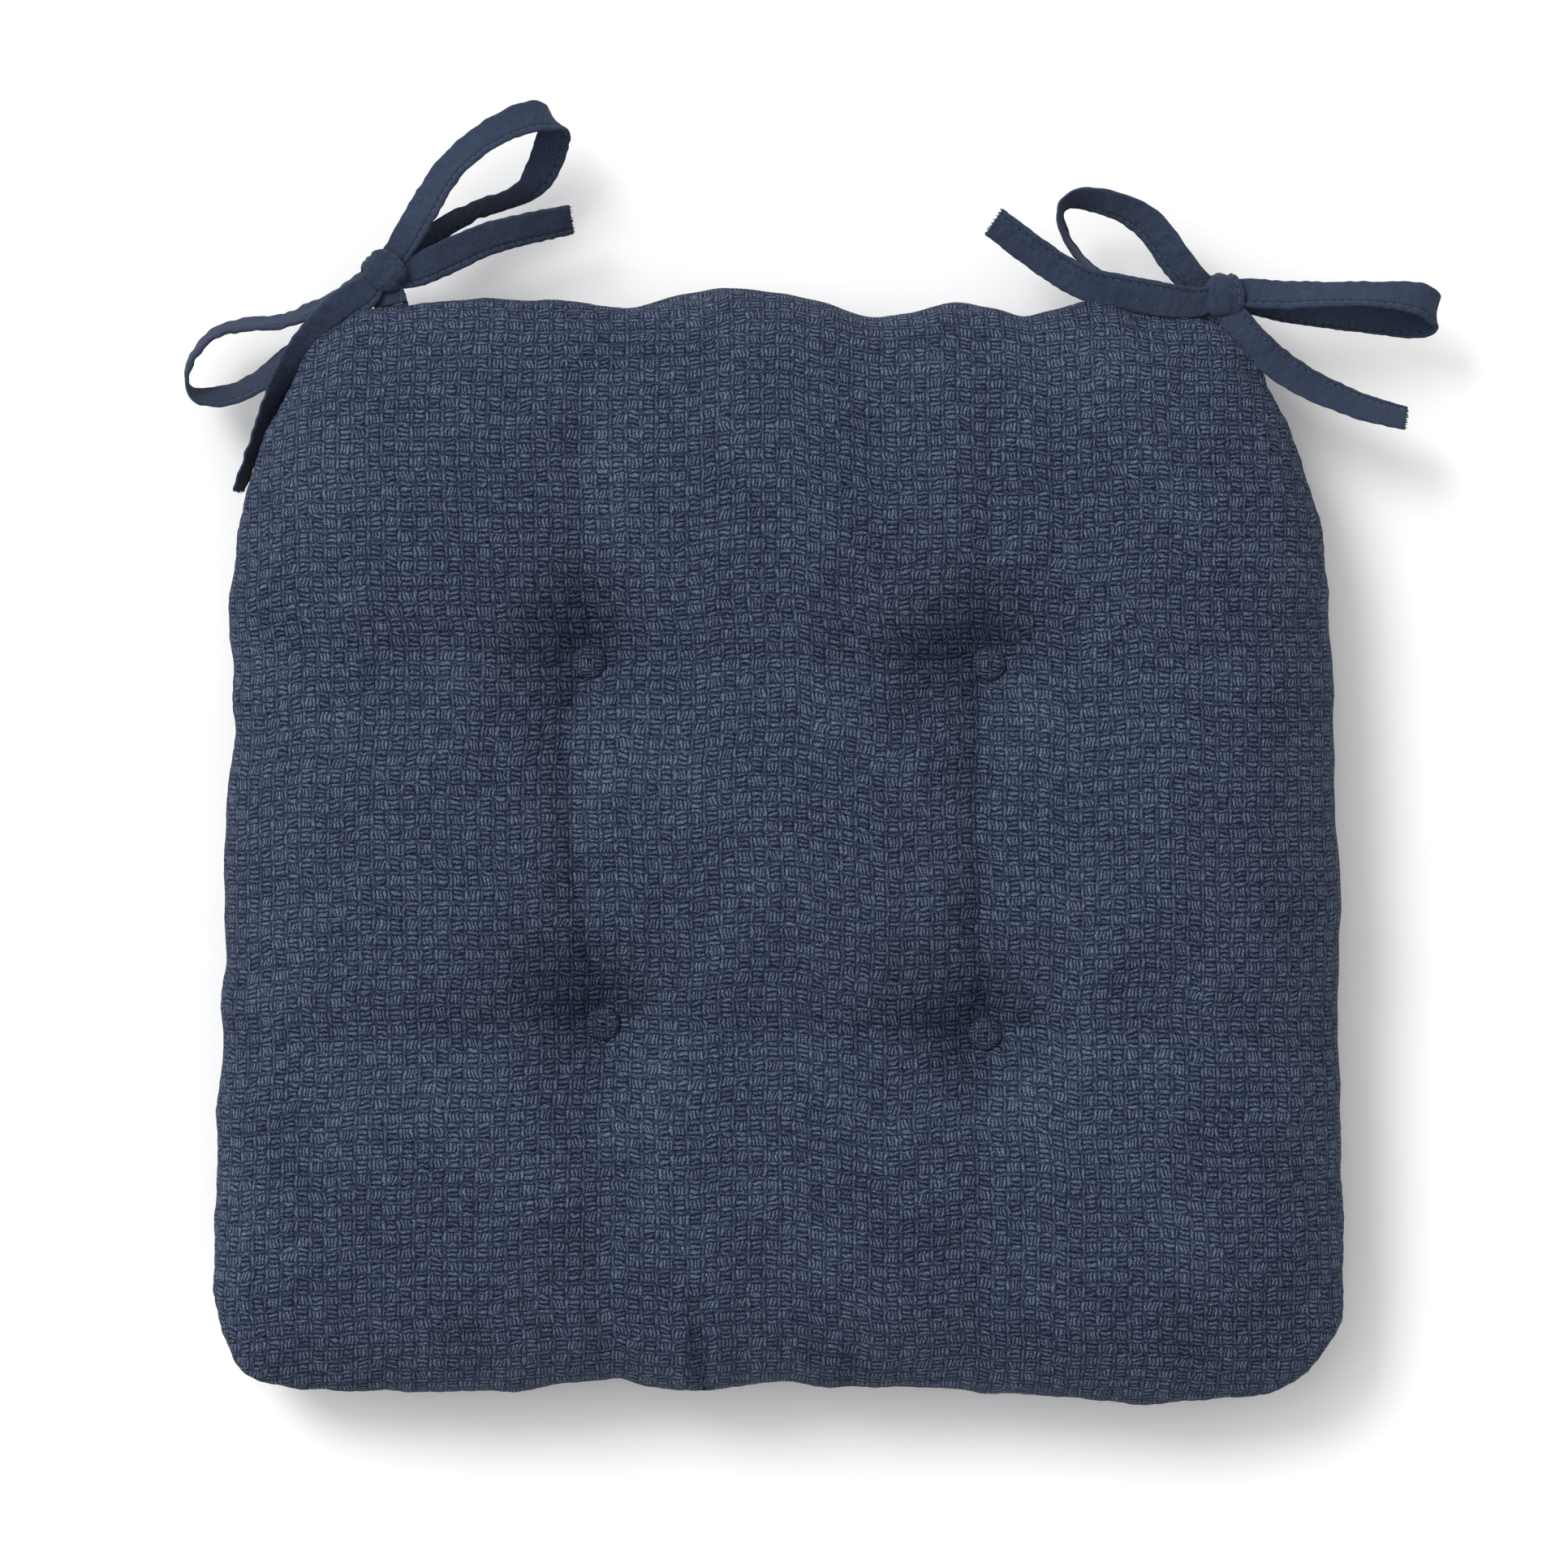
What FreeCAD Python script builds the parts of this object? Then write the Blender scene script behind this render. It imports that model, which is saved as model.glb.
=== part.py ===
"""A tufted tie-on chair pad: two woven covers sewn round a fibre fill, four button tufts and two tied bows.

Millimetres. The origin is the middle of the underside, +Z is up, +Y points to the rear edge with the ties
and +X to the right of somebody who looks down at the pad from its front edge.
"""

import FreeCAD, Part
import Sketcher
import os
from math import cos, radians, sin, sqrt

from FreeCAD import Placement, Rotation, Vector

doc = FreeCAD.newDocument("ChairPad")

# ---------------------------------------------------------------- driving dimensions

SIZES = {
    # half outline of the pad, seen from above: front corner, side, shoulder and rear corner
    "front_half": 165, "front_edge": 195, "front_corner_radius": 38,
    "side_front_x": 203, "side_front_y": -158,
    "side_rear_x": 197, "side_rear_y": 92, "shoulder_radius": 165,
    "corner_x": 176, "corner_y": 164, "rear_corner_radius": 37,
    "rear_half": 146, "rear_end": 191, "rear_edge_radius": 2200, "front_edge_radius": 4200,
    # heights and cloth
    "seam_height": 32, "crown_height": 72, "cloth": 1.2, "fill_gap": 0.5, "seam_band": 1.4,
    # tufts: a grid that is a little off the middle, because it is sewn by hand
    "tuft_pitch_x": 140, "tuft_pitch_y": 131, "tuft_centre_x": 4.5, "tuft_centre_y": 1,
    "upper_seat": 40, "lower_seat": 12, "pit_floor": 7.5, "upper_pit_mouth": 42, "lower_pit_mouth": 24,
    "channel_radius": 1.9, "twine_radius": 0.7,
    # covered buttons
    "button_radius": 6, "button_rise": 3.4, "button_cloth": 0.6, "button_shell": 0.4, "button_play": 0.1,
    "button_rim": 0.6, "plate_radius": 4.7, "plate_thickness": 0.6, "shank_radius": 1.6, "shank_length": 2.6,
    # ties
    "tie_width": 12.5, "tie_thickness": 1.4, "tab_inside": 11, "tab_outside": 3, "hinge_gap": 0.3,
    "bartack_width": 1.6, "bartack_height": 0.6, "closing_length": 150,
    "knot_radius": 6.5, "knot_height": 15, "knot_base": 21, "knot_round": 3, "knot_play": 0.05,
    "strap_start": 9, "loop_base": 20, "loop_mouth": 1, "tip_flare": 1.05,
    "tail_base": 33.5,
}

# Each tuft: its side and end of the grid, and how far from there it was sewn.
TUFTS = {
    "rear_left": {"side": -1, "end": 1, "drift_x": -2.3, "drift_y": 0.2},
    "rear_right": {"side": 1, "end": 1, "drift_x": 0.6, "drift_y": -0.4},
    "front_left": {"side": -1, "end": -1, "drift_x": 2.6, "drift_y": 1.9},
    "front_right": {"side": 1, "end": -1, "drift_x": -0.8, "drift_y": -1.6},
}

# Each bow: where its strap crosses the seam, and the middle of its knot.
BOWS = {
    "left": {"seam_x": -138.5, "seam_y": 191.7, "knot_x": -142.5, "knot_y": 208},
    "right": {"seam_x": 152, "seam_y": 189.6, "knot_x": 159.5, "knot_y": 201.5},
}

# Loops stand on edge: heading in degrees, reach from the knot to the tip's centre, and half their width.
LOOPS = {
    "left_upper_loop": {"heading": 42, "reach": 66, "half": 15},
    "left_lower_loop": {"heading": 205, "reach": 66, "half": 12},
    "right_inner_loop": {"heading": 146, "reach": 58, "half": 11},
    "right_outer_loop": {"heading": -1, "reach": 71, "half": 8.5},
}

# Tails lie flat: heading at the knot, and the radius and angle of their sideways bend.
TAILS = {
    "left_upper_tail": {"heading": 22, "radius": 330, "bend": 11},
    "left_lower_tail": {"heading": 213, "radius": 150, "bend": 33},
    "right_inner_tail": {"heading": 170, "radius": 260, "bend": 18},
    "right_outer_tail": {"heading": -36, "radius": 250, "bend": 16},
}
TAILS_TO_THE_LEFT = ("left_lower_tail", "right_outer_tail")

# Sections of the two halves as (share of the outline, share of the height above or below the seam).
UPPER_SECTIONS = [(1, 0), (0.985, 0.27), (0.945, 0.56), (0.87, 0.82), (0.74, 0.96), (0.6, 1)]
LOWER_SECTIONS = [(1, 0), (0.985, 0.33), (0.95, 0.68), (0.89, 0.92), (0.8, 1)]

for table in (TUFTS, BOWS, LOOPS, TAILS):
    for name, values in table.items():
        SIZES.update({f"{name}_{key}": value for key, value in values.items()})

sheet = doc.addObject("Spreadsheet::Sheet", "Sizes")
for row, (alias, value) in enumerate(SIZES.items(), start=1):
    sheet.set(f"A{row}", alias)
    sheet.set(f"B{row}", str(value))
    sheet.setAlias(f"B{row}", alias)
doc.recompute()

parts = []


def size(name):
    return float(getattr(sheet, name))


def number(expression):
    """What an expression over the sheet's cells comes to."""
    return float(sheet.evalExpression(expression))


def cell(name):
    return f"Sizes.{name}"


# ---------------------------------------------------------------- helpers for bodies and sketches


def body(label):
    made = doc.addObject("PartDesign::Body", label)
    made.Label = label
    return made


def origin_plane(owner, role):
    return next(f for f in owner.Origin.OriginFeatures if f.Role == role)


def sketch_on(owner, name, role, height="0", side="0", depth="0"):
    """A sketch on one of the body's planes, moved by expressions along and off that plane."""
    sketch = owner.newObject("Sketcher::SketchObject", name)
    sketch.AttachmentSupport = [(origin_plane(owner, role), "")]
    sketch.MapMode = "FlatFace"
    sketch.setExpression("AttachmentOffset.Base.x", side)
    sketch.setExpression("AttachmentOffset.Base.y", depth)
    sketch.setExpression("AttachmentOffset.Base.z", height)
    return sketch


def arc_centre(start, end, radius, left):
    """Centre of the arc from start to end. It lies to the left or the right of the chord."""
    chord = end - start
    rise = sqrt(max(radius**2 - (chord.Length / 2) ** 2, 0))
    normal = Vector(-chord.y, chord.x, 0).normalize()
    return (start + end) * 0.5 + normal * (rise if left else -rise)


def closed_wire(sketch, corners, arcs=None):
    """A closed outline: every corner is held by two expressions, and arcs gives a radius for some edges.

    arcs maps an edge's number to (radius expression, True when its centre is on the left of the way round).
    """
    arcs = arcs or {}
    points = [Vector(number(x), number(y), 0) for x, y in corners]
    first = sketch.GeometryCount
    for n, start in enumerate(points):
        end = points[(n + 1) % len(points)]
        if n not in arcs:
            sketch.addGeometry(Part.LineSegment(start, end), False)
            continue
        radius, left = arcs[n]
        centre = arc_centre(start, end, number(radius), left)
        circle = Part.Circle(centre, Vector(0, 0, 1), number(radius))
        ends = (start, end) if left else (end, start)
        sketch.addGeometry(Part.ArcOfCircle(circle, *[circle.parameter(p) for p in ends]), False)
    for n in range(len(points)):
        edge, after = first + n, first + (n + 1) % len(points)
        starts_at = 2 if n in arcs and not arcs[n][1] else 1
        ends_at = 3 - starts_at
        after_starts = 2 if (n + 1) % len(points) in arcs and not arcs[(n + 1) % len(points)][1] else 1
        sketch.addConstraint(Sketcher.Constraint("Coincident", edge, ends_at, after, after_starts))
        for kind, expression, value in (
            ("DistanceX", corners[n][0], points[n].x),
            ("DistanceY", corners[n][1], points[n].y),
        ):
            held = sketch.addConstraint(Sketcher.Constraint(kind, -1, 1, edge, starts_at, value))
            sketch.setExpression(f"Constraints[{held}]", expression)
        if n in arcs:
            held = sketch.addConstraint(Sketcher.Constraint("Radius", edge, number(arcs[n][0])))
            sketch.setExpression(f"Constraints[{held}]", arcs[n][0])


def circle_wire(sketch, x, y, radius):
    centre = Vector(number(x), number(y), 0)
    made = sketch.addGeometry(Part.Circle(centre, Vector(0, 0, 1), number(radius)), False)
    for kind, expression in (("DistanceX", x), ("DistanceY", y)):
        held = sketch.addConstraint(Sketcher.Constraint(kind, -1, 1, made, 3, number(expression)))
        sketch.setExpression(f"Constraints[{held}]", expression)
    held = sketch.addConstraint(Sketcher.Constraint("Radius", made, number(radius)))
    sketch.setExpression(f"Constraints[{held}]", radius)


def pad(owner, sketch, length):
    made = owner.newObject("PartDesign::Pad", "Pad")
    made.Profile = sketch
    made.setExpression("Length", length)
    return made


def turned(owner, sketch, kind="PartDesign::Revolution", angle="360"):
    """A Revolution or Groove about the sketch's own upright axis."""
    made = owner.newObject(kind, "Turned")
    made.Profile = sketch
    made.ReferenceAxis = (sketch, ["V_Axis"])
    made.setExpression("Angle", angle)
    return made


def boolean(kind, label, base, tool):
    made = doc.addObject(kind, label)
    made.Label = label
    made.Base = base
    made.Tool = tool
    return made


def kept(made, label=None):
    """Lists a sub-part, which gets a file of its own."""
    if label:
        made.Label = label
    parts.append(made)
    return made


# ---------------------------------------------------------------- the pad's outline and its two halves


def outline(sketch, share, inset):
    """The pad seen from above, anticlockwise from the front right, scaled about its middle."""
    scale = f"({share} * (1 - {inset} / {cell('side_front_x')}))"
    right = [
        ("front_half", "-Sizes.front_edge"), ("side_front_x", "Sizes.side_front_y"),
        ("side_rear_x", "Sizes.side_rear_y"), ("corner_x", "Sizes.corner_y"), ("rear_half", "Sizes.rear_end"),
    ]
    corners = [(f"{cell(x)} * {scale}", f"{y} * {scale}") for x, y in right]
    corners += [(f"-{cell(x)} * {scale}", f"{y} * {scale}") for x, y in reversed(right)]
    bends = {
        0: "front_corner_radius", 2: "shoulder_radius", 3: "rear_corner_radius", 4: "rear_edge_radius",
        5: "rear_corner_radius", 6: "shoulder_radius", 8: "front_corner_radius", 9: "front_edge_radius",
    }
    closed_wire(sketch, corners, {n: (f"{cell(r)} * {scale}", True) for n, r in bends.items()})


def tuft_places():
    """Each tuft's name and its middle, as two expressions."""
    for name in TUFTS:
        x, y = (
            f"Sizes.tuft_centre_{axis} + Sizes.tuft_pitch_{axis} / 2 * Sizes.{name}_{place}"
            f" + Sizes.{name}_drift_{axis}"
            for axis, place in (("x", "side"), ("y", "end"))
        )
        yield name, x, y


def half_form(label, upper, inset, seam_gap):
    """Half of the pad, from the seam to the crown or to the underside, with its pits and tuft channels."""
    form = body(label)
    way = "" if upper else "-"
    whole_height = "Sizes.crown_height - Sizes.seam_height" if upper else "Sizes.seam_height"
    height = f"({whole_height} - {inset} - {seam_gap})"
    sketches = []
    for n, (share, rise) in enumerate(UPPER_SECTIONS if upper else LOWER_SECTIONS):
        level = f"Sizes.seam_height + {way}1 * ({seam_gap} + {height} * {rise})"
        section = sketch_on(form, f"Section{n}", "XY_Plane", height=level)
        outline(section, share, inset)
        sketches.append(section)
    doc.recompute()
    loft = form.newObject("PartDesign::AdditiveLoft", "Loft")
    loft.Profile = sketches[0]
    loft.Sections = sketches[1:]
    doc.recompute()
    seat = f"(Sizes.upper_seat - {inset})" if upper else f"(Sizes.lower_seat + {inset})"
    mouth = cell("upper_pit_mouth" if upper else "lower_pit_mouth")
    rim = "(Sizes.crown_height + 0.5)" if upper else "(0 - 0.5)"
    beyond = "(Sizes.crown_height + 12)" if upper else "(0 - 12)"
    whole = form.Shape.Volume
    for _, x, y in tuft_places():
        pit = sketch_on(form, "Pit", "XZ_Plane", height=f"-({y})", side=x)
        closed_wire(pit, [
            ("0", seat), (f"Sizes.pit_floor + 0.4 * {inset}", seat),
            (f"{mouth} + 1.45 * {inset}", rim), (f"{mouth} + 1.45 * {inset}", beyond), ("0", beyond),
        ])
        doc.recompute()
        turned(form, pit, "PartDesign::Groove")
        doc.recompute()
    channels = sketch_on(form, "Channels", "XY_Plane", height="-5")
    for _, x, y in tuft_places():
        circle_wire(channels, x, y, cell("channel_radius"))
    doc.recompute()
    bored = form.newObject("PartDesign::Pocket", "Bored")
    bored.Profile = channels
    bored.setExpression("Length", "Sizes.crown_height + 20")
    bored.Reversed = True
    doc.recompute()
    print(label, "volume", round(whole), "with pits and channels", round(form.Shape.Volume))
    return form


def covers():
    for label, upper in (("top_cover", True), ("bottom_cover", False)):
        outside = half_form(f"{label}_outside", upper, "0", "Sizes.seam_band / 2")
        inside = half_form(f"{label}_inside", upper, "Sizes.cloth", "Sizes.seam_band / 2")
        kept(boolean("Part::Cut", label, outside, inside))


def fibre_fill():
    inset = "(Sizes.cloth + Sizes.fill_gap)"
    halves = [half_form("fill_upper", True, inset, "0"), half_form("fill_lower", False, inset, "0")]
    whole = boolean("Part::Fuse", "fill_whole", *halves)
    pocketed = whole
    for name in BOWS:
        room = tab_box(f"{name}_clearance", name, "1")
        pocketed = boolean("Part::Cut", f"fill_cleared_{name}", pocketed, room)
    kept(pocketed, "fibre_fill")


def seams():
    """The sewn line between the covers, with the ties' tabs let in, and the stretch closed after filling."""
    ring = body("seam_ring")
    line = sketch_on(ring, "Line", "XY_Plane", height="Sizes.seam_height - Sizes.seam_band / 2")
    outline(line, "1", "0")
    outline(line, "1", "Sizes.cloth")
    pad(ring, line, cell("seam_band"))
    notched = ring
    for name in BOWS:
        notched = boolean("Part::Cut", f"seam_notched_{name}", notched, tab_box(f"{name}_notch", name, "0"))
    block = doc.addObject("Part::Box", "closing_block")
    block.setExpression("Length", cell("closing_length"))
    block.setExpression("Width", "60")
    block.setExpression("Height", "Sizes.seam_band + 2")
    block.setExpression("Placement.Base.x", "-Sizes.closing_length / 2")
    block.setExpression("Placement.Base.y", "Sizes.rear_end - 30")
    block.setExpression("Placement.Base.z", "Sizes.seam_height - Sizes.seam_band / 2 - 1")
    kept(boolean("Part::Cut", "perimeter_seam", notched, block))
    kept(boolean("Part::Common", "closing_seam", notched, block))


# ---------------------------------------------------------------- tufts


def dome_radius(half_width, top, rim):
    """Radius of the arc from the crown of a dome down to its rim."""
    rise = f"({top} - {rim})"
    return f"({half_width} * {half_width} + {rise} * {rise}) / (2 * {rise})"


def button(prefix, upper, x, y):
    """A covered button: cloth cap, domed shell and a plate with a shank for the twine."""
    seat = "Sizes.upper_seat" if upper else "Sizes.lower_seat"
    rotation = Rotation() if upper else Rotation(Vector(1, 0, 0), 180)
    place = Placement(Vector(number(x), number(y), number(seat)), rotation)
    cap_in = "(Sizes.button_radius - Sizes.button_cloth)"
    shell_out = f"({cap_in} - Sizes.button_play)"
    shell_in = f"({shell_out} - Sizes.button_shell)"
    cap_top = "Sizes.button_rise"
    cap_under = f"({cap_top} - Sizes.button_cloth)"
    shell_top = f"({cap_under} - Sizes.button_play)"
    shell_under = f"({shell_top} - Sizes.button_shell)"
    rim = cell("button_rim")
    profiles = {
        "cap": (cap_top, cap_under, cell("button_radius"), cap_in),
        "shell": (shell_top, shell_under, shell_out, shell_in),
    }
    for name, (top, under, outer, inner) in profiles.items():
        dome = body(f"{prefix}_{name}")
        profile = sketch_on(dome, "Profile", "XZ_Plane")
        closed_wire(
            profile,
            [("0", under), (inner, rim), (inner, "0"), (outer, "0"), (outer, rim), ("0", top)],
            {0: (dome_radius(inner, under, rim), False), 4: (dome_radius(outer, top, rim), True)},
        )
        doc.recompute()
        turned(dome, profile)
        dome.Placement = place
        kept(dome)
    plate = body(f"{prefix}_back")
    profile = sketch_on(plate, "Profile", "XZ_Plane")
    shank, rim = cell("shank_radius"), cell("plate_radius")
    closed_wire(profile, [
        ("0", "-Sizes.shank_length"), (shank, "-Sizes.shank_length"), (shank, "0"),
        (rim, "0"), (rim, cell("plate_thickness")), ("0", cell("plate_thickness")),
    ])
    doc.recompute()
    turned(plate, profile)
    plate.Placement = place
    kept(plate)


def tufts():
    for name, x, y in tuft_places():
        button(f"{name}_upper_button", True, x, y)
        button(f"{name}_lower_button", False, x, y)
        twine = doc.addObject("Part::Cylinder", f"{name}_tuft_twine")
        twine.setExpression("Radius", cell("twine_radius"))
        twine.setExpression("Height", "Sizes.upper_seat - Sizes.lower_seat - 2 * Sizes.shank_length")
        twine.setExpression("Placement.Base.x", x)
        twine.setExpression("Placement.Base.y", y)
        twine.setExpression("Placement.Base.z", "Sizes.lower_seat + Sizes.shank_length")
        kept(twine)


# ---------------------------------------------------------------- ties


def direction(degrees):
    return Vector(cos(radians(degrees)), sin(radians(degrees)), 0)


def place_of(bow, what, height=0):
    """The place in the plan where a bow's strap crosses the seam, or the middle of its knot."""
    return Vector(size(f"{bow}_{what}_x"), size(f"{bow}_{what}_y"), height)


def way_of(bow):
    """The way a bow's strap points where it leaves the seam."""
    return (place_of(bow, "knot") - place_of(bow, "seam")).normalize()


def strap_box(label, start, way, low, length, width, thickness, grow="0"):
    """A flat run of strap: it starts at a point, lies along a direction, and is widened all round by grow."""
    box = doc.addObject("Part::Box", label)
    box.setExpression("Length", f"{length} + 2 * {grow}")
    box.setExpression("Width", f"{width} + 2 * {grow}")
    box.setExpression("Height", f"{thickness} + 2 * {grow}")
    across = Vector(-way.y, way.x, 0)
    extra = number(grow)
    base = start - way * extra - across * (number(width) / 2 + extra)
    box.Placement = Placement(Vector(base.x, base.y, number(low) - extra), Rotation(Vector(1, 0, 0), way))
    return box


def fold(label, middle, way, radius):
    """The rounded fold that a strap turns about: a bar across the strap."""
    bar = doc.addObject("Part::Cylinder", label)
    bar.setExpression("Radius", radius)
    bar.setExpression("Height", cell("tie_width"))
    across = Vector(-way.y, way.x, 0)
    bar.Placement = Placement(middle - across * (size("tie_width") / 2), Rotation(Vector(0, 0, 1), across))
    return bar


def tab_box(label, name, grow):
    """The end of a tie that is caught in the seam."""
    start = place_of(name, "seam") - way_of(name) * size("tab_inside")
    return strap_box(
        label, start, way_of(name), "Sizes.seam_height - Sizes.seam_band / 2",
        "(Sizes.tab_inside + Sizes.tab_outside)", cell("tie_width"), cell("seam_band"), grow,
    )


def neck(name):
    """The doubled run from the seam to the knot. It turns about a fold just clear of the tab."""
    knot, way = place_of(name, "knot", size("seam_height")), way_of(name)
    turns_at = size("tab_outside") + size("hinge_gap") + size("tie_thickness")
    start = place_of(name, "seam", size("seam_height")) + way * turns_at
    run = strap_box(
        f"{name}_neck_run", start, way, "Sizes.seam_height - Sizes.tie_thickness",
        str((knot - start).Length), cell("tie_width"), "2 * Sizes.tie_thickness",
    )
    rounded = fold(f"{name}_neck_fold", start, way, cell("tie_thickness"))
    whole = boolean("Part::Fuse", f"{name}_neck_whole", run, rounded)
    core = doc.addObject("Part::Cylinder", f"{name}_neck_core")
    core.setExpression("Radius", "Sizes.knot_radius + Sizes.knot_play")
    core.setExpression("Height", cell("knot_height"))
    core.Placement = Placement(place_of(name, "knot", size("knot_base")), Rotation())
    kept(boolean("Part::Cut", f"{name}_tie_neck", whole, core))


def knot_piece(name):
    ball = body(f"{name}_tie_knot")
    rim = sketch_on(ball, "Rim", "XY_Plane")
    circle_wire(rim, "0", "0", cell("knot_radius"))
    grown = pad(ball, rim, cell("knot_height"))
    doc.recompute()
    rounded = ball.newObject("PartDesign::Fillet", "Rounded")
    whole_turn = 6 * size("knot_radius")
    rims = [f"Edge{n}" for n, e in enumerate(grown.Shape.Edges, start=1) if e.Length > whole_turn]
    rounded.Base = (grown, rims)
    rounded.setExpression("Radius", cell("knot_round"))
    ball.Placement = Placement(place_of(name, "knot", size("knot_base")), Rotation())
    kept(ball)


def loop(label, bow):
    """A hairpin of strap that stands on edge and starts beside the knot."""
    strap = body(label)
    plan = sketch_on(strap, "Plan", "XY_Plane")
    start, mouth, thick = cell("strap_start"), cell("loop_mouth"), cell("tie_thickness")
    reach, half = cell(f"{label}_reach"), cell(f"{label}_half")
    closed_wire(
        plan,
        [
            (start, f"-({mouth} + {thick})"), (reach, f"-{half}"), (reach, half),
            (start, f"{mouth} + {thick}"), (start, mouth), (reach, f"{half} - {thick}"),
            (reach, f"{thick} - {half}"), (start, f"-{mouth}"),
        ],
        {1: (f"{half} * Sizes.tip_flare", True), 5: (f"({half} - {thick}) * Sizes.tip_flare", False)},
    )
    pad(strap, plan, cell("tie_width"))
    turn = Rotation(Vector(0, 0, 1), size(f"{label}_heading"))
    strap.Placement = Placement(place_of(bow, "knot", size("loop_base")), turn)
    kept(strap)


def tail(label, bow, left):
    """A flat run of strap that bends sideways along an arc. It turns about a fold beside the knot."""
    strap = body(f"{label}_run")
    section = sketch_on(strap, "Section", "XZ_Plane")
    inner, outer = (f"Sizes.{label}_radius {sign} Sizes.tie_width / 2" for sign in "-+")
    thick = cell("tie_thickness")
    closed_wire(section, [(inner, "0"), (outer, "0"), (outer, thick), (inner, thick)])
    doc.recompute()
    swept = turned(strap, section, angle=cell(f"{label}_bend"))
    swept.Reversed = not left
    heading = size(f"{label}_heading")
    way = direction(heading)
    turn = Rotation(Vector(0, 0, 1), heading - (90 if left else -90))
    start = place_of(bow, "knot", size("tail_base")) + way * size("strap_start")
    strap.Placement = Placement(start - turn.multVec(Vector(size(f"{label}_radius"), 0, 0)), turn)
    middle = start + Vector(0, 0, size("tie_thickness") / 2)
    rounded = fold(f"{label}_fold", middle, way, "Sizes.tie_thickness / 2")
    kept(boolean("Part::Fuse", label, strap, rounded))


def ties():
    for name in BOWS:
        kept(tab_box(f"{name}_tie_tab", name, "0"))
        back = size("tab_outside") - size("bartack_width") - size("hinge_gap")
        kept(strap_box(
            f"{name}_tie_bartack", place_of(name, "seam") + way_of(name) * back, way_of(name),
            "Sizes.seam_height + Sizes.seam_band / 2",
            cell("bartack_width"), "(Sizes.tie_width - 2)", cell("bartack_height"),
        ))
        neck(name)
        knot_piece(name)
    for label in LOOPS:
        loop(label, label.split("_")[0])
    for label in TAILS:
        tail(label, label.split("_")[0], label in TAILS_TO_THE_LEFT)


# ---------------------------------------------------------------- build, check and write


def check_everything():
    """doc.recompute() can leave an object failed without raising."""
    bad = [o.Name for o in doc.Objects if {"Invalid", "Error"} & set(o.State)]
    bad += [p.Label for p in parts if p.Shape.isNull() or not p.Shape.isValid() or not p.Shape.Solids]
    if bad:
        raise RuntimeError(f"these objects failed: {bad}")


def write_parts():
    os.makedirs("parts", exist_ok=True)
    for part in parts:
        part.Shape.exportStep(f"parts/{part.Label}.step")
        print(f"{part.Label:34s} {part.Shape.Volume:12.1f} mm3")


covers()
fibre_fill()
seams()
tufts()
ties()
doc.recompute()
check_everything()
write_parts()
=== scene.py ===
"""A tufted tie-on chair pad seen from straight above, on a white studio floor."""

from math import atan2, cos, pi, radians, sin, sqrt

import bpy
import numpy as np
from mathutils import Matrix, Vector


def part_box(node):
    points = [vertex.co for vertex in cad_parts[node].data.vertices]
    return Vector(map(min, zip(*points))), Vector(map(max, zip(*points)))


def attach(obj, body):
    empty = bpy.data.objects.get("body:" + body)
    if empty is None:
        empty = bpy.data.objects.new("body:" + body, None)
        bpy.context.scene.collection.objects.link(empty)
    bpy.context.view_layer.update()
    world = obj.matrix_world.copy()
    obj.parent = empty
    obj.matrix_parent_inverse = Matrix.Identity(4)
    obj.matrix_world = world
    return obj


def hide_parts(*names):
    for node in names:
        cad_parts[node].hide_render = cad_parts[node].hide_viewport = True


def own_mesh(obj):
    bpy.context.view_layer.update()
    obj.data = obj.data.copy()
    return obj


MM = 0.001

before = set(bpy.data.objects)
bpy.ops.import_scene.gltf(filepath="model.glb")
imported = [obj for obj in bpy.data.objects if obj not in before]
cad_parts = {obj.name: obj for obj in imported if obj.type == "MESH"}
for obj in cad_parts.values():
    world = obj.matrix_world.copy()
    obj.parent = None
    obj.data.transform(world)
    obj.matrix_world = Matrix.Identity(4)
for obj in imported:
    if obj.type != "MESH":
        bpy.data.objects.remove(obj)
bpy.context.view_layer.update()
TUFT_NAMES = ("rear_left", "rear_right", "front_left", "front_right")

# Heights and lengths are in millimetres.
SEAM_Z, SEAM_INSET = 32.0, 5
CROWN_RISE = 39
UPPER_FULLNESS, LOWER_FULLNESS, FIBRE_FULLNESS = 4.4, 5.0, 3.6
TWINE_LOW, TWINE_HIGH = 14.7, 37.3
UPPER_CAP_SEAT, LOWER_CAP_SEAT = 40.6, 12.0
CAP_RADIUS, CAP_CROWN, CAP_CLOTH = 6.1, 2.1, 6.6
CLOTH_LIMIT = 7
FLOOR_REACH = 20000

# The weave's cells, in metres like every uv, and the shares of a cell that its blocks take up.
CELL_WIDE, CELL_LONG = 0.00545, 0.00535
COLUMN_SHARE, ROW_SHARE = 0.7, 0.667


# --- meshes


def added(name, data):
    """An object with the given data, in the scene."""
    made = bpy.data.objects.new(name, data)
    bpy.context.scene.collection.objects.link(made)
    return made


def corner_points(mesh):
    """The point that each corner of the mesh's faces lies on."""
    corners = np.empty(len(mesh.loops), dtype=np.int32)
    mesh.loops.foreach_get("vertex_index", corners)
    return corners


def new_mesh(name, verts, faces, uv=None):
    """A smooth mesh object. Points are in millimetres, uv is one pair of metres for each point."""
    mesh = bpy.data.meshes.new(name)
    mesh.from_pydata((np.asarray(verts) * MM).tolist(), [], [tuple(int(i) for i in f) for f in faces])
    if uv is not None:
        layer = mesh.uv_layers.new(name="cloth")
        layer.data.foreach_set("uv", np.asarray(uv, dtype=np.float32)[corner_points(mesh)].ravel())
    mesh.shade_smooth()
    return added(name, mesh)


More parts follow.
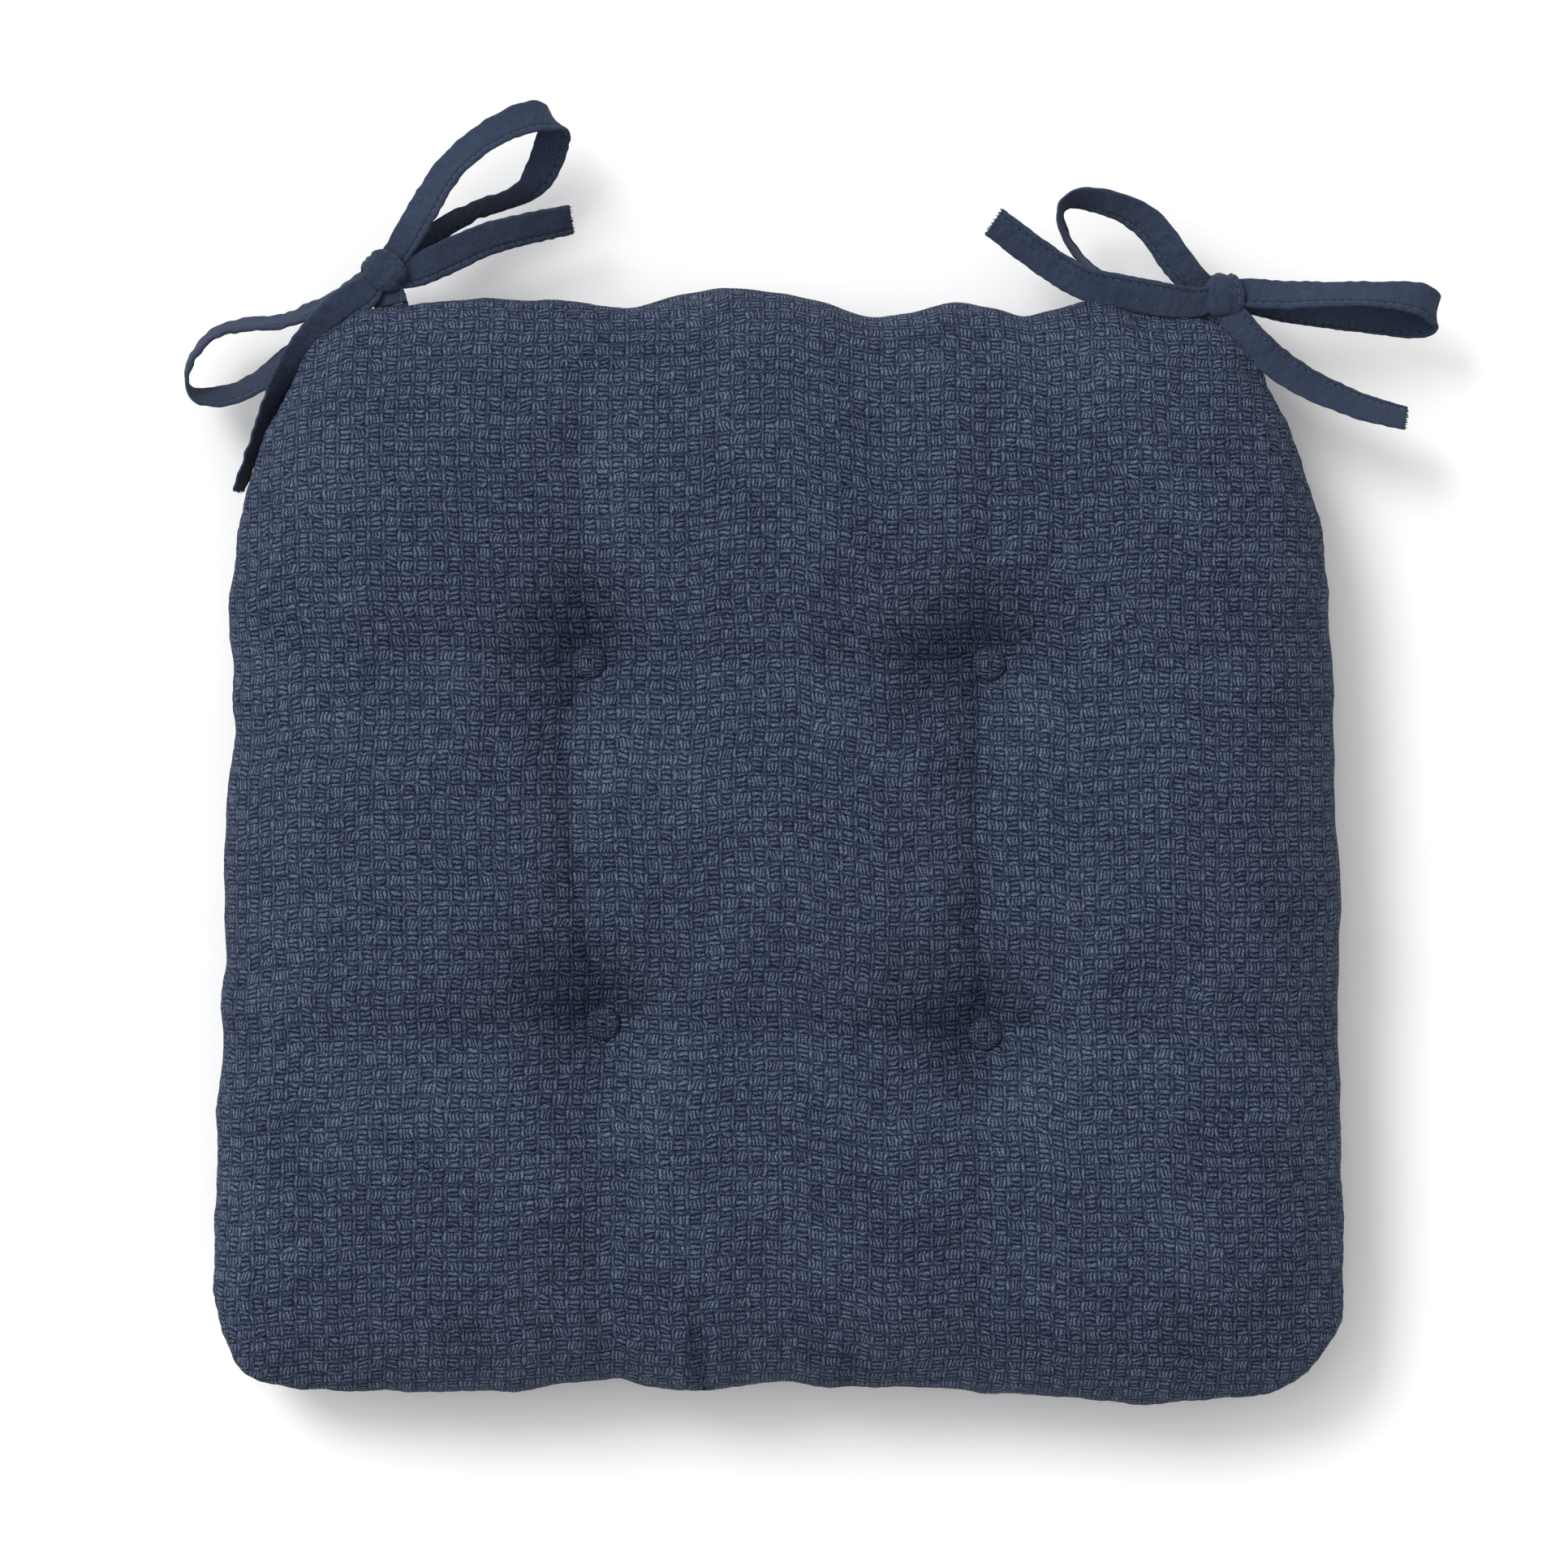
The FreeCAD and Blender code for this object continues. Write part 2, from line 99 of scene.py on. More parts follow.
def points_of(mesh):
    """The mesh's points as an array of millimetres."""
    found = np.empty(len(mesh.vertices) * 3)
    mesh.vertices.foreach_get("co", found)
    return found.reshape(-1, 3) / MM


def put_points(mesh, points):
    mesh.vertices.foreach_set("co", (np.asarray(points) * MM).ravel())
    mesh.update()


def unit(rows):
    return rows / np.linalg.norm(rows, axis=1, keepdims=True)


def lengths_along(points):
    """How far along a line each of its points lies."""
    return np.r_[0, np.cumsum(np.linalg.norm(np.diff(points, axis=0), axis=1))]


def subdivided(made):
    """Subdivides once and applies it, so that the piece is a plain mesh."""
    modifier = made.modifiers.new("Subdivision", "SUBSURF")
    modifier.levels = modifier.render_levels = 1
    modifier.boundary_smooth = "PRESERVE_CORNERS"
    graph = bpy.context.evaluated_depsgraph_get()
    mesh = bpy.data.meshes.new_from_object(made.evaluated_get(graph), depsgraph=graph)
    made.modifiers.clear()
    made.data = mesh


def grid_faces(rows, columns):
    """The faces of a net of points."""
    index = np.arange(rows * columns).reshape(rows, columns)
    return np.stack([index[:-1, :-1], index[:-1, 1:], index[1:, 1:], index[1:, :-1]], axis=-1).reshape(-1, 4)


def tube_faces(rows, sides):
    """The faces of a net whose rows are closed rings."""
    index = np.arange(rows * sides).reshape(rows, sides)
    turned = np.roll(index, -1, axis=1)
    return np.stack([index[:-1], turned[:-1], turned[1:], index[1:]], axis=-1).reshape(-1, 4)


def rim_of(rows, columns):
    """The points round the border of a net, in turn."""
    index = np.arange(rows * columns).reshape(rows, columns)
    return np.concatenate([index[0, :-1], index[:-1, -1], index[-1, :0:-1], index[:0:-1, 0]])


def band_faces(first, second):
    """The faces between two closed rings of points."""
    return list(zip(np.roll(first, -1), first, second, np.roll(second, -1)))


def shell_faces(rows, columns):
    """The faces of two nets, one over the other, closed round the border. The second net's points come last."""
    rim, layer = rim_of(rows, columns), rows * columns
    under = grid_faces(rows, columns)[:, ::-1] + layer
    return [*grid_faces(rows, columns), *under, *band_faces(rim, rim + layer)]


def joined(name, pieces):
    """Several (verts, faces, uv) lists in one."""
    verts, faces, uvs, start = [], [], [], 0
    for points, quads, uv in pieces:
        verts.append(np.asarray(points, dtype=float))
        uvs.append(np.asarray(uv, dtype=float))
        faces.extend(np.asarray(f) + start for f in quads)
        start += len(points)
    return new_mesh(name, np.vstack(verts), faces, np.vstack(uvs))


def waves(x, y, seed, size, octaves=2):
    """A smooth, seeded, wandering field of about -1 to 1 over x and y, with features of the given size."""
    rng = np.random.default_rng(seed)
    total, weight = np.zeros(np.broadcast(x, y).shape), 0.0
    for octave in range(octaves):
        for _ in range(7):
            turn, phase, scale = rng.uniform(0, 2 * pi), rng.uniform(0, 2 * pi), rng.uniform(0.7, 1.4)
            reach = 2 * pi / (size * scale / 2**octave)
            total = total + np.sin((x * cos(turn) + y * sin(turn)) * reach + phase) / 1.8**octave
        weight += 7 / 1.8**octave
    return total / weight * 2.2


# --- the pad's outline

FRONT_CORNER, FRONT_SIDE = (165, -195), (203, -158)
REAR_SIDE, SHOULDER, REAR_CORNER = (197, 92), (176, 164), (146, 191)

# Where the sewn edge leaves its plain outline: a place on it, how far it swells outwards, and half its length.
SCALLOPS = [
    ((-193, -186), 3, 11), ((-57, -194), -1.6, 4), ((-146, 191), 3, 12), ((-112, 193), 4.6, 20),
    ((-80, 194), 2, 16), ((-52, 195), -1.6, 10), ((-12, 196), 5, 20), ((35, 195), -4.8, 16),
    ((87, 194), -3, 9), ((70, 194), -1, 8),
    ((112, 193), 3.2, 12), ((-197, 62), -1.4, 10), ((-198, 38), -3, 15), ((-195, 99), -0.6, 9),
    ((-200, -32), -1.4, 18), ((-201, -68), -1.4, 10), ((199, 40), 1, 45), ((200, -20), 2.4, 14),
    ((-52, -198), -4.6, 36), ((-72, -198), -3, 14), ((-120, -197), -1.4, 28), ((0, -198), -6.2, 17),
    ((40, -198), -4.6, 24), ((61, -198), -1.8, 9), ((92, -197), -1.4, 16), ((134, -196), 3.8, 24),
    ((176, -190), 2.4, 14), ((25, -198), -1, 5),
]


def arc(start, end, radius, count):
    """Points on the arc from start to end that has its centre on the left."""
    start, end = np.array(start, float), np.array(end, float)
    chord = end - start
    length = np.hypot(*chord)
    normal = np.array([-chord[1], chord[0]]) / length
    centre = (start + end) / 2 + normal * sqrt(max(radius**2 - (length / 2) ** 2, 0))
    first, last = (atan2(*(p - centre)[::-1]) for p in (start, end))
    turn = np.linspace(first, last + (2 * pi if last < first else 0), count)
    return centre + radius * np.c_[np.cos(turn), np.sin(turn)]


def mirrored(point):
    return (-point[0], point[1])


def plain_outline():
    """The pad seen from above, anticlockwise from the middle of the front edge, in even steps of about 1 mm."""
    right = np.vstack([
        arc(mirrored(FRONT_CORNER), FRONT_CORNER, 4200, 121)[60:], arc(FRONT_CORNER, FRONT_SIDE, 38, 40)[1:],
        np.linspace(FRONT_SIDE, REAR_SIDE, 120)[1:], arc(REAR_SIDE, SHOULDER, 165, 50)[1:],
        arc(SHOULDER, REAR_CORNER, 37, 40)[1:], arc(REAR_CORNER, mirrored(REAR_CORNER), 2200, 121)[1:61],
    ])
    ring = np.vstack([right, (right * [-1, 1])[::-1][1:-1]])
    closed = np.vstack([ring, ring[:1]])
    along = np.r_[0, np.cumsum(np.hypot(*np.diff(closed, axis=0).T))]
    places = np.linspace(0, along[-1], 1500, endpoint=False)
    return np.c_[np.interp(places, along, closed[:, 0]), np.interp(places, along, closed[:, 1])], along[-1]


def real_outline():
    """The outline with its scallops and the small gathers of the sewn edge."""
    ring, length = plain_outline()
    count = len(ring)
    along = np.arange(count) * length / count
    tangent = np.roll(ring, -3, axis=0) - np.roll(ring, 3, axis=0)
    outward = np.c_[tangent[:, 1], -tangent[:, 0]] / np.hypot(*tangent.T)[:, None]
    swell = np.zeros(count)
    for place, depth, half in SCALLOPS:
        middle = along[np.argmin(np.hypot(*(ring - place).T))]
        away = np.abs((along - middle + length / 2) % length - length / 2)
        swell += depth * np.exp(-((away / half) ** 2))
    turn = along / length * 2 * pi
    for waves_round, depth, phase in ((31, 0.35, 0.4), (47, 0.28, 2.1), (73, 0.2, 4.0), (119, 0.15, 1.2)):
        swell += depth * np.sin(turn * waves_round + phase + 1.3 * np.sin(turn * 5 + phase))
    return ring + outward * swell[:, None], length


OUTLINE, PERIMETER = real_outline()


def outline_at(places):
    """Points of the outline at lengths along it, in millimetres."""
    step = PERIMETER / len(OUTLINE)
    where = np.asarray(places) / step
    low = np.floor(where).astype(int) % len(OUTLINE)
    share = (where % 1)[..., None]
    return OUTLINE[low] * (1 - share) + OUTLINE[(low + 1) % len(OUTLINE)] * share


def place_nearest(point):
    return np.argmin(np.hypot(*(OUTLINE - point).T)) * PERIMETER / len(OUTLINE)


# --- the two panels

TUFTS = [np.mean(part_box(f"{name}_upper_button_cap"), axis=0)[:2] / MM for name in TUFT_NAMES]


def panel_grid(count):
    """An even net over the pad: x and y, how far each point lies between the sides and the ends, and the border."""
    even = np.linspace(-1, 1, count)
    spread = 0.6 * even + 0.4 * (1.5 * even - 0.5 * even**3)
    u, v = np.meshgrid(spread, spread)
    corners = ((192, -184), (167, 180), (-167, 180), (-192, -184))
    front_right, rear_right, rear_left, front_left = (place_nearest(corner) for corner in corners)
    right, rear, left, front = (
        outline_at(np.interp(spread, [-1, 1], ends))
        for ends in (
            (front_right, rear_right), (rear_left, rear_right), (front_left, rear_left),
            (front_left - PERIMETER, front_right),
        )
    )
    a, b = (u[..., None] + 1) / 2, (v[..., None] + 1) / 2
    sides = (1 - a) * left[:, None] + a * right[:, None]
    ends = (1 - b) * front[None] + b * rear[None]
    corner = (1 - a) * (1 - b) * front[0] + a * (1 - b) * front[-1] + (1 - a) * b * rear[0] + a * b * rear[-1]
    x, y = np.moveaxis(sides + ends - corner, -1, 0)
    return x, y, u, v, (np.abs(u) > 0.9999) | (np.abs(v) > 0.9999)


# Valleys of the upper side: two ends in the plan, depth at the first end, the middle and the second end, width, and
# how far the valley bows to its right. The first two are the deep creases, the first four join the tufts.
REAR_LEFT, REAR_RIGHT, FRONT_LEFT, FRONT_RIGHT = TUFTS
VALLEYS = [
    (REAR_LEFT, FRONT_LEFT, (28, 13, 26), 12, 8.5), (REAR_RIGHT, FRONT_RIGHT, (28, 14, 26), 12, 3.5),
    (REAR_LEFT, REAR_RIGHT, (20, 6.5, 20), 15, 0), (FRONT_LEFT, FRONT_RIGHT, (22, 8, 20), 15, 0),
    (REAR_LEFT, (-71, 196), (20, 7, 4), 14, 0), (REAR_RIGHT, (80, 196), (20, 6.5, 4), 14, 0),
    (FRONT_LEFT, (-62, -192), (20, 7.5, 4), 14, 0), (FRONT_RIGHT, (72, -194), (20, 7, 3), 14, 0),
    (REAR_LEFT, (-197, 72), (20, 7, 4), 15, 0), (FRONT_LEFT, (-203, -72), (22, 8.5, 5), 14, 0),
    (REAR_RIGHT, (200, 68), (20, 5.5, 2), 16, 0), (FRONT_RIGHT, (203, -72), (20, 7, 3), 15, 0),
]

# Pinches where the front edge was sewn with too much cloth: foot, head, depth, half width.
PINCHES = [
    ((-27, -193), (-29, -158), 6.0, 3.0), ((25, -194), (26, -174), 4.0, 2.4), ((-50, -191), (-47, -174), 2.2, 4.0),
]


def along_and_off(x, y, start, end, bow=0.0):
    """How far along the line each point lies, 0 to 1, and how far off it, in millimetres."""
    start, end = np.array(start, float), np.array(end, float)
    way = end - start
    length = np.hypot(*way)
    way = way / length
    run = ((x - start[0]) * way[0] + (y - start[1]) * way[1]) / length
    along = np.clip(run, 0, 1)
    aside = (y - start[1]) * way[0] - (x - start[0]) * way[1] + bow * np.sin(pi * along**0.6)
    return along, np.hypot(aside, (run - along) * length)


def three(along, values):
    """A smooth course through values at 0, a half and 1."""
    first, middle, last = values
    near_first, near_last = np.exp(-((along / 0.2) ** 2)), np.exp(-(((1 - along) / 0.2) ** 2))
    return middle + (first - middle) * near_first + (last - middle) * near_last


def pillow(u, v, power):
    fullness = np.clip(1 - np.abs(u) ** power, 0, 1) * np.clip(1 - np.abs(v) ** power, 0, 1)
    return np.sqrt(fullness)


def round_tuft(x, y, tuft):
    """How far each point lies from a tuft's middle, and which way."""
    return np.hypot(x - tuft[0], y - tuft[1]), np.arctan2(y - tuft[1], x - tuft[0])


def tuft_distance(x, y):
    return np.min([round_tuft(x, y, tuft)[0] for tuft in TUFTS], axis=0)


def drawn_in(x, y, depth, flat, reach, power, valleys):
    """How far the tufts and valleys draw the cloth in, blended so that the deepest one rules."""
    total = np.zeros_like(x)
    for tuft in TUFTS:
        r, _ = round_tuft(x, y, tuft)
        total += (depth * np.clip(1 - np.maximum(r - flat, 0) / reach, 0, 1) ** power) ** 4
    for start, end, depths, width, bow in valleys:
        along, off = along_and_off(x, y, start, end, bow)
        total += (three(along, depths) * np.exp(-np.sqrt(off**2 + 4) / width)) ** 4
    return total**0.25


def upper_height(x, y, u, v):
    full = pillow(u, v, UPPER_FULLNESS)
    lowered = drawn_in(x, y, 32.6, 4.8, 57, 2.2, VALLEYS)
    under_cap = np.maximum(31.2 - 0.5 * np.maximum(tuft_distance(x, y) - 5.5, 0), 27)
    lowered = np.minimum(lowered, under_cap)
    lumps = (1.3 * waves(x, y, 3, 70) + 0.5 * waves(x, y, 8, 26)) * (1 - np.minimum(lowered / 32.6, 1) ** 3)
    return SEAM_Z + full * CROWN_RISE - np.minimum(lowered, 33) * np.minimum(full * 1.15, 1) + lumps * full


def lower_height(x, y, u, v):
    full = pillow(u, v, LOWER_FULLNESS)
    shallow = [(start, end, (9, 3.5, 9), 12, 0) for start, end, *_ in VALLEYS[:4]]
    lowered = drawn_in(x, y, 12.5, 5.5, 34, 2, shallow)
    soft = np.minimum(full * 1.12, 1)
    return np.maximum(SEAM_Z * (1 - soft) + lowered * soft, 0.05)


def lengths_over(points):
    """Lengths over the surface from the middle row and column of the net: the cloth's own flat coordinates."""
    rows, columns = points.shape[:2]
    across = np.linalg.norm(np.diff(points, axis=1), axis=2)
    down = np.linalg.norm(np.diff(points, axis=0), axis=2)
    s = np.concatenate([np.zeros((rows, 1)), np.cumsum(across, axis=1)], axis=1)
    t = np.concatenate([np.zeros((1, columns)), np.cumsum(down, axis=0)], axis=0)
    s -= s[:, [columns // 2]]
    t -= t[[rows // 2], :]
    return np.dstack([s, t])


def blurred(field, spread):
    """The field smoothed over the given number of net steps in both directions."""
    reach = int(3 * spread)
    kernel = np.exp(-0.5 * (np.arange(-reach, reach + 1) / spread) ** 2)
    kernel /= kernel.sum()
    for axis in (0, 1):
        width = [(reach, reach) if n == axis else (0, 0) for n in range(field.ndim)]
        wide = np.pad(field, width, mode="edge")
        field = np.apply_along_axis(lambda line: np.convolve(line, kernel, mode="valid"), axis, wide)
    return field


def cloth_lay(x, y, u, v, points):
    """Where each point lies in the cloth, in metres: straight weave that bends a little round the tufts."""
    calm = np.dstack([x, y, SEAM_Z + pillow(u, v, UPPER_FULLNESS) * 30])
    lay = lengths_over(calm)
    lay = lay + 0.4 * blurred(lengths_over(points) - lay, len(u) / 13)
    lay[..., 0] += 0.45 * waves(x, y, 61, 60)
    lay[..., 1] += 0.45 * waves(x, y, 62, 60)
    return lay * MM


def relaxed(made, flat, held):
    """Lets the cloth settle under the fibre's pressure from its flat cut, and applies what it comes to."""
    start = points_of(made.data)
    made.shape_key_add(name="Basis")
    cut = made.shape_key_add(name="Cut")
    cut.data.foreach_set("co", (flat * MM).ravel())
    group = made.vertex_groups.new(name="held")
    group.add([int(i) for i in held], 1.0, "REPLACE")
    modifier = made.modifiers.new("Cloth", "CLOTH")
    cloth = modifier.settings
    settings = dict(
        quality=6, mass=0.05, tension_stiffness=22, compression_stiffness=14, shear_stiffness=5, bending_stiffness=0.35,
        tension_damping=12, compression_damping=12, shear_damping=12, air_damping=2, vertex_group_mass="held",
        rest_shape_key=cut, use_pressure=True, uniform_pressure_force=4,
    )
    for key, value in settings.items():
        setattr(cloth, key, value)
    cloth.effector_weights.gravity = 0
    modifier.collision_settings.use_collision = False
    modifier.collision_settings.use_self_collision = False
    scene = bpy.context.scene
    for number in range(1, 21):
        scene.frame_set(number)
    settled = points_of(made.evaluated_get(bpy.context.evaluated_depsgraph_get()).data)
    scene.frame_set(1)
    made.modifiers.clear()
    made.shape_key_clear()
    move = settled - start
    far = np.linalg.norm(move, axis=1, keepdims=True)
    print("cloth moved, mm: mean", far.mean().round(2), "most", far.max().round(2))
    put_points(made.data, start + move * np.minimum(1, CLOTH_LIMIT / np.maximum(far, 1e-9)))


def cloth_places(mesh):
    """Where each point of a mesh lies in its cloth, in metres."""
    pairs = np.empty(len(mesh.loops) * 2)
    mesh.uv_layers[0].data.foreach_get("uv", pairs)
    lay = np.zeros((len(mesh.vertices), 2))
    lay[corner_points(mesh)] = pairs.reshape(-1, 2)
    return lay


def fine_upper(mesh):
    """Creases, puckers and gathers too small for the settling, added to the subdivided panel."""
    points = points_of(mesh)
    x, y, z = points.T
    across, down = (cloth_places(mesh) / [CELL_WIDE, CELL_LONG] + [0.15, 0.17]).T
    blocks = 0.45 * np.sqrt(np.abs(np.sin(pi * across) * np.sin(pi * down)))
    fine = blocks.copy()
    for n, (start, end, _, _, bow) in enumerate(VALLEYS[:4]):
        along, off = along_and_off(x, y, start, end, bow)
        strength = 1.0 if n < 2 else 0.35
        wander = off + 0.9 * waves(x, y, 21, 30)
        depth = three(along, (2.6, 1.3, 2.6)) * np.clip(12 * np.minimum(along, 1 - along), 0, 1)
        fine -= strength * depth * np.exp(-((wander / 2.8) ** 2))
    for n, tuft in enumerate(TUFTS):
        r, turn = round_tuft(x, y, tuft)
        folds = np.sin(7 * turn + n) + 0.7 * np.sin(11 * turn + 2.3 * n + 1) + 0.5 * np.sin(16 * turn - n)
        fine += 0.75 * folds * np.exp(-np.maximum(r - 7, 0) / 9) * np.clip((r - 5.6) / 4, 0, 1)
    over_seam = z - SEAM_Z
    for foot, head, depth, half in PINCHES:
        along, off = along_and_off(x, y, foot, head)
        off = off + 0.5 * waves(x, y, 33, 14)
        fade = np.clip(over_seam / 6, 0, 1)
        fine -= depth * (1 - along) ** 0.7 * np.exp(-((off / half) ** 2)) * fade
        fine += 0.45 * depth * (1 - along) * np.exp(-(((off - 2.2 * half) / half) ** 2)) * fade
    rim = np.clip(1 - over_seam / 16, 0, 1) * np.clip(over_seam / 2, 0, 1)
    fine += 0.55 * rim * waves(x, y, 14, 13)
    normals = np.empty(len(mesh.vertices) * 3)
    mesh.vertex_normals.foreach_get("vector", normals)
    sideways = normals.reshape(-1, 3) * [1, 1, 0] * (blocks * rim)[:, None]
    return points + np.c_[np.zeros((len(x), 2)), fine] + sideways


def turned_in(points, uv, level):
    """Rows that carry a panel's edge round into the seam, so the pad is closed: extra points, faces and uv."""
    rows, columns = points.shape[:2]
    ring = rim_of(rows, columns)
    edge, edge_uv = points.reshape(-1, 3)[ring], uv.reshape(-1, 2)[ring]
    inward = -unit(edge[:, :2])
    extra, extra_uv, faces, before = [], [], [], ring
    for n, share in enumerate((0.35, 1.0)):
        extra.append(np.c_[edge[:, :2] + inward * SEAM_INSET * share, np.full(len(ring), level)])
        extra_uv.append(edge_uv + inward * SEAM_INSET * share * MM)
        now = rows * columns + n * len(ring) + np.arange(len(ring))
        faces += band_faces(before, now)
        before = now
    return np.vstack(extra), faces, np.vstack(extra_uv)


def closed_panel(name, points, lay, level, faces_down=False):
    """A panel's mesh, with its edge turned in."""
    extra, extra_faces, extra_uv = turned_in(points, lay, level)
    faces = [*grid_faces(*points.shape[:2]), *extra_faces]
    verts, uv = np.vstack([points.reshape(-1, 3), extra]), np.vstack([lay.reshape(-1, 2), extra_uv])
    return new_mesh(name, verts, [f[::-1] for f in faces] if faces_down else faces, uv)


def upper_panel():
    count = 141
    x, y, u, v, edge = panel_grid(count)
    points = np.dstack([x, y, upper_height(x, y, u, v)])
    flat = lengths_over(points)
    points[edge, 2] = SEAM_Z + 0.4
    lay = cloth_lay(x, y, u, v, points)
    panel = closed_panel("upper_panel_cloth", points, lay, SEAM_Z + 0.1)
    total = len(panel.data.vertices)
    held = [*np.flatnonzero((edge | (tuft_distance(x, y) < 6.5)).ravel()), *range(count * count, total)]
    inner = turned_in(points, flat * MM, SEAM_Z)[2] / MM
    relaxed(panel, np.c_[np.vstack([flat.reshape(-1, 2), inner]), np.full(total, SEAM_Z)], held)
    subdivided(panel)
    put_points(panel.data, fine_upper(panel.data))
    panel.data.shade_smooth()
    return panel


def lower_panel():
    x, y, u, v, edge = panel_grid(91)
    points = np.dstack([x, y, lower_height(x, y, u, v)])
    lay = cloth_lay(x, y, u, v, points)
    points[edge, 2] = SEAM_Z - 0.4
    panel = closed_panel("lower_panel_cloth", points, lay, SEAM_Z - 0.1, faces_down=True)
    subdivided(panel)
    points = points_of(panel.data)
    x, y, z = points.T
    fine = 0.35 * waves(x, y, 44, 12) * np.clip(z / 8, 0, 1) * np.clip((SEAM_Z - z) / 3, 0, 1)
    for n, tuft in enumerate(TUFTS):
        r, turn = round_tuft(x, y, tuft)
        folds = np.sin(8 * turn + n) + 0.6 * np.sin(13 * turn - 1.7 * n)
        fine += 0.4 * folds * np.exp(-np.maximum(r - 7, 0) / 7) * np.clip((r - 4) / 4, 0, 1)
    bulge = np.exp(-(((z - 22) / 7) ** 2)) * 2.4
    middle = np.linalg.norm(points[:, :2], axis=1, keepdims=True)
    outward = points[:, :2] / np.maximum(middle, 1)
    near_edge = np.clip((np.max(np.abs(points[:, :2]) / [201, 195], axis=1) - 0.9) / 0.08, 0, 1)
    moved = points.copy()
    moved[:, :2] += outward * (bulge * near_edge)[:, None]
    for middle, half in ((-30, 15), (64, 9)):
        moved[:, 1] += 1.1 * bulge * near_edge * np.exp(-(((x - middle) / half) ** 2)) * (y > 150)
    moved[:, 2] = np.maximum(z + fine, 0.02)
    put_points(panel.data, moved)
    panel.data.shade_smooth()
    return panel


def fibre_body():
    """The fibre fill: one closed lump that lies just under both panels."""
    count = 41
    x, y, u, v, _ = panel_grid(count)
    x, y = x * 0.975, y * 0.975
    full = pillow(u, v, FIBRE_FULLNESS)
    top, low = upper_height(x, y, u, v), lower_height(x, y, u, v)
    top = SEAM_Z + np.maximum(top - SEAM_Z - 9 * full, 0) * 0.8
    low = SEAM_Z - np.maximum(SEAM_Z - low - 4 * full, 0) * 0.9
    verts = np.vstack([np.dstack([x, y, top]).reshape(-1, 3), np.dstack([x, y, low]).reshape(-1, 3)])
    return new_mesh("fibre_body", verts, shell_faces(count, count), verts[:, :2] * MM)


# --- strands, stitches and buttons


def tube(points, radius, sides=6):
    """A thin closed tube along points in millimetres: verts, faces and uv."""
    points = np.asarray(points, float)
    tangents = unit(np.gradient(points, axis=0))
    up = np.where(np.abs(tangents[:, [2]]) > 0.9, [[1.0, 0, 0]], [[0, 0, 1.0]])
    side = unit(np.cross(tangents, up))
    over = np.cross(side, tangents)
    turn = np.linspace(0, 2 * pi, sides, endpoint=False)
    taper = np.ones(len(points))
    taper[0] = taper[-1] = 0.35
    around = side[:, None] * np.cos(turn)[None, :, None] + over[:, None] * np.sin(turn)[None, :, None]
    rings = points[:, None] + around * radius * taper[:, None, None]
    ends = np.arange(sides), np.arange(sides) + (len(points) - 1) * sides
    faces = [*tube_faces(len(points), sides), ends[0][::-1], ends[1]]
    uv = np.dstack(np.meshgrid(np.linspace(0, 2 * pi * radius, sides), lengths_along(points))).reshape(-1, 2) * MM
    return rings.reshape(-1, 3), faces, uv


def stitch(start, end, lift, radius):
    """One stitch: a short thread that rises between two holes."""
    start, end = np.asarray(start, float), np.asarray(end, float)
    share = np.linspace(0, 1, 5)[:, None]
    points = start * (1 - share) + end * share + np.asarray(lift) * np.sin(share * pi)
    return tube(points, radius, 5)


def seam_stitches(name, first, last, pitch, length, level, inset):
    """Stitches along the sewn edge between two places on the outline."""
    stitches = []
    for place in np.arange(first, last, pitch):
        ends = outline_at([place, place + length])
        inward = -unit(ends)
        ends = ends + inward * inset
        stitches.append(stitch([*ends[0], level], [*ends[1], level], np.r_[-inward[0] * 0.5, 0], 0.28))
    return joined(name, stitches)


def twisted_twine(name, x, y, low, high):
    """Three strands laid round each other between a pair of shanks."""
    strands = []
    for phase in (0, 2 * pi / 3, 4 * pi / 3):
        height = np.linspace(low, high, 30)
        turn = phase + (height - low) * 1.9
        strands.append(tube(np.c_[x + 0.36 * np.cos(turn), y + 0.36 * np.sin(turn), height], 0.36, 6))
    return joined(name, strands)


def covered_button(name, x, y, seat, way, seed):
    """Cloth gathered over a domed button: a soft crown and a rim drawn in with small folds. It faces up or down."""
    rng = np.random.default_rng(seed)
    rings, sides = 22, 72
    turn = np.linspace(0, 2 * pi, sides, endpoint=False)
    folds = np.sin(17 * turn + rng.uniform(0, 6)) + 0.6 * np.sin(23 * turn + rng.uniform(0, 6))
    verts, uv = [], []
    for share in np.arange(rings) / (rings - 1):
        arc_turn = share * 2.25
        past = arc_turn - pi / 2
        radius = CAP_RADIUS * sin(arc_turn) if past < 0 else CAP_RADIUS - 2.4 * past**1.4
        height = 0.5 + CAP_CROWN * cos(arc_turn) if past < 0 else 0.5 - 1.5 * past
        gather = np.clip((share - 0.45) / 0.4, 0, 1)
        local = radius * (1 + 0.04 * gather * folds)
        bump = 0.2 * gather * folds + 0.12 * sin(seed) * np.cos(turn) * share
        verts.append(np.c_[x + local * np.cos(turn), y + way * local * np.sin(turn), seat + way * (height + bump)])
        uv.append((np.c_[np.cos(turn), np.sin(turn)] * CAP_CLOTH * arc_turn + [x, y]) * MM)
    centre = rings * sides
    verts = np.vstack([*verts, [x, y, seat + way * (0.5 + CAP_CROWN)]])
    faces = [*(tube_faces(rings - 1, sides) + sides)]
    faces += [(centre, sides + n, sides + (n + 1) % sides) for n in range(sides)]
    return new_mesh(name, verts, [f[::-1] for f in faces], np.vstack([*uv, [x * MM, y * MM]]))


# --- ties

TIE_WIDTH, TIE_HALF_THICK = 12.5, 0.55

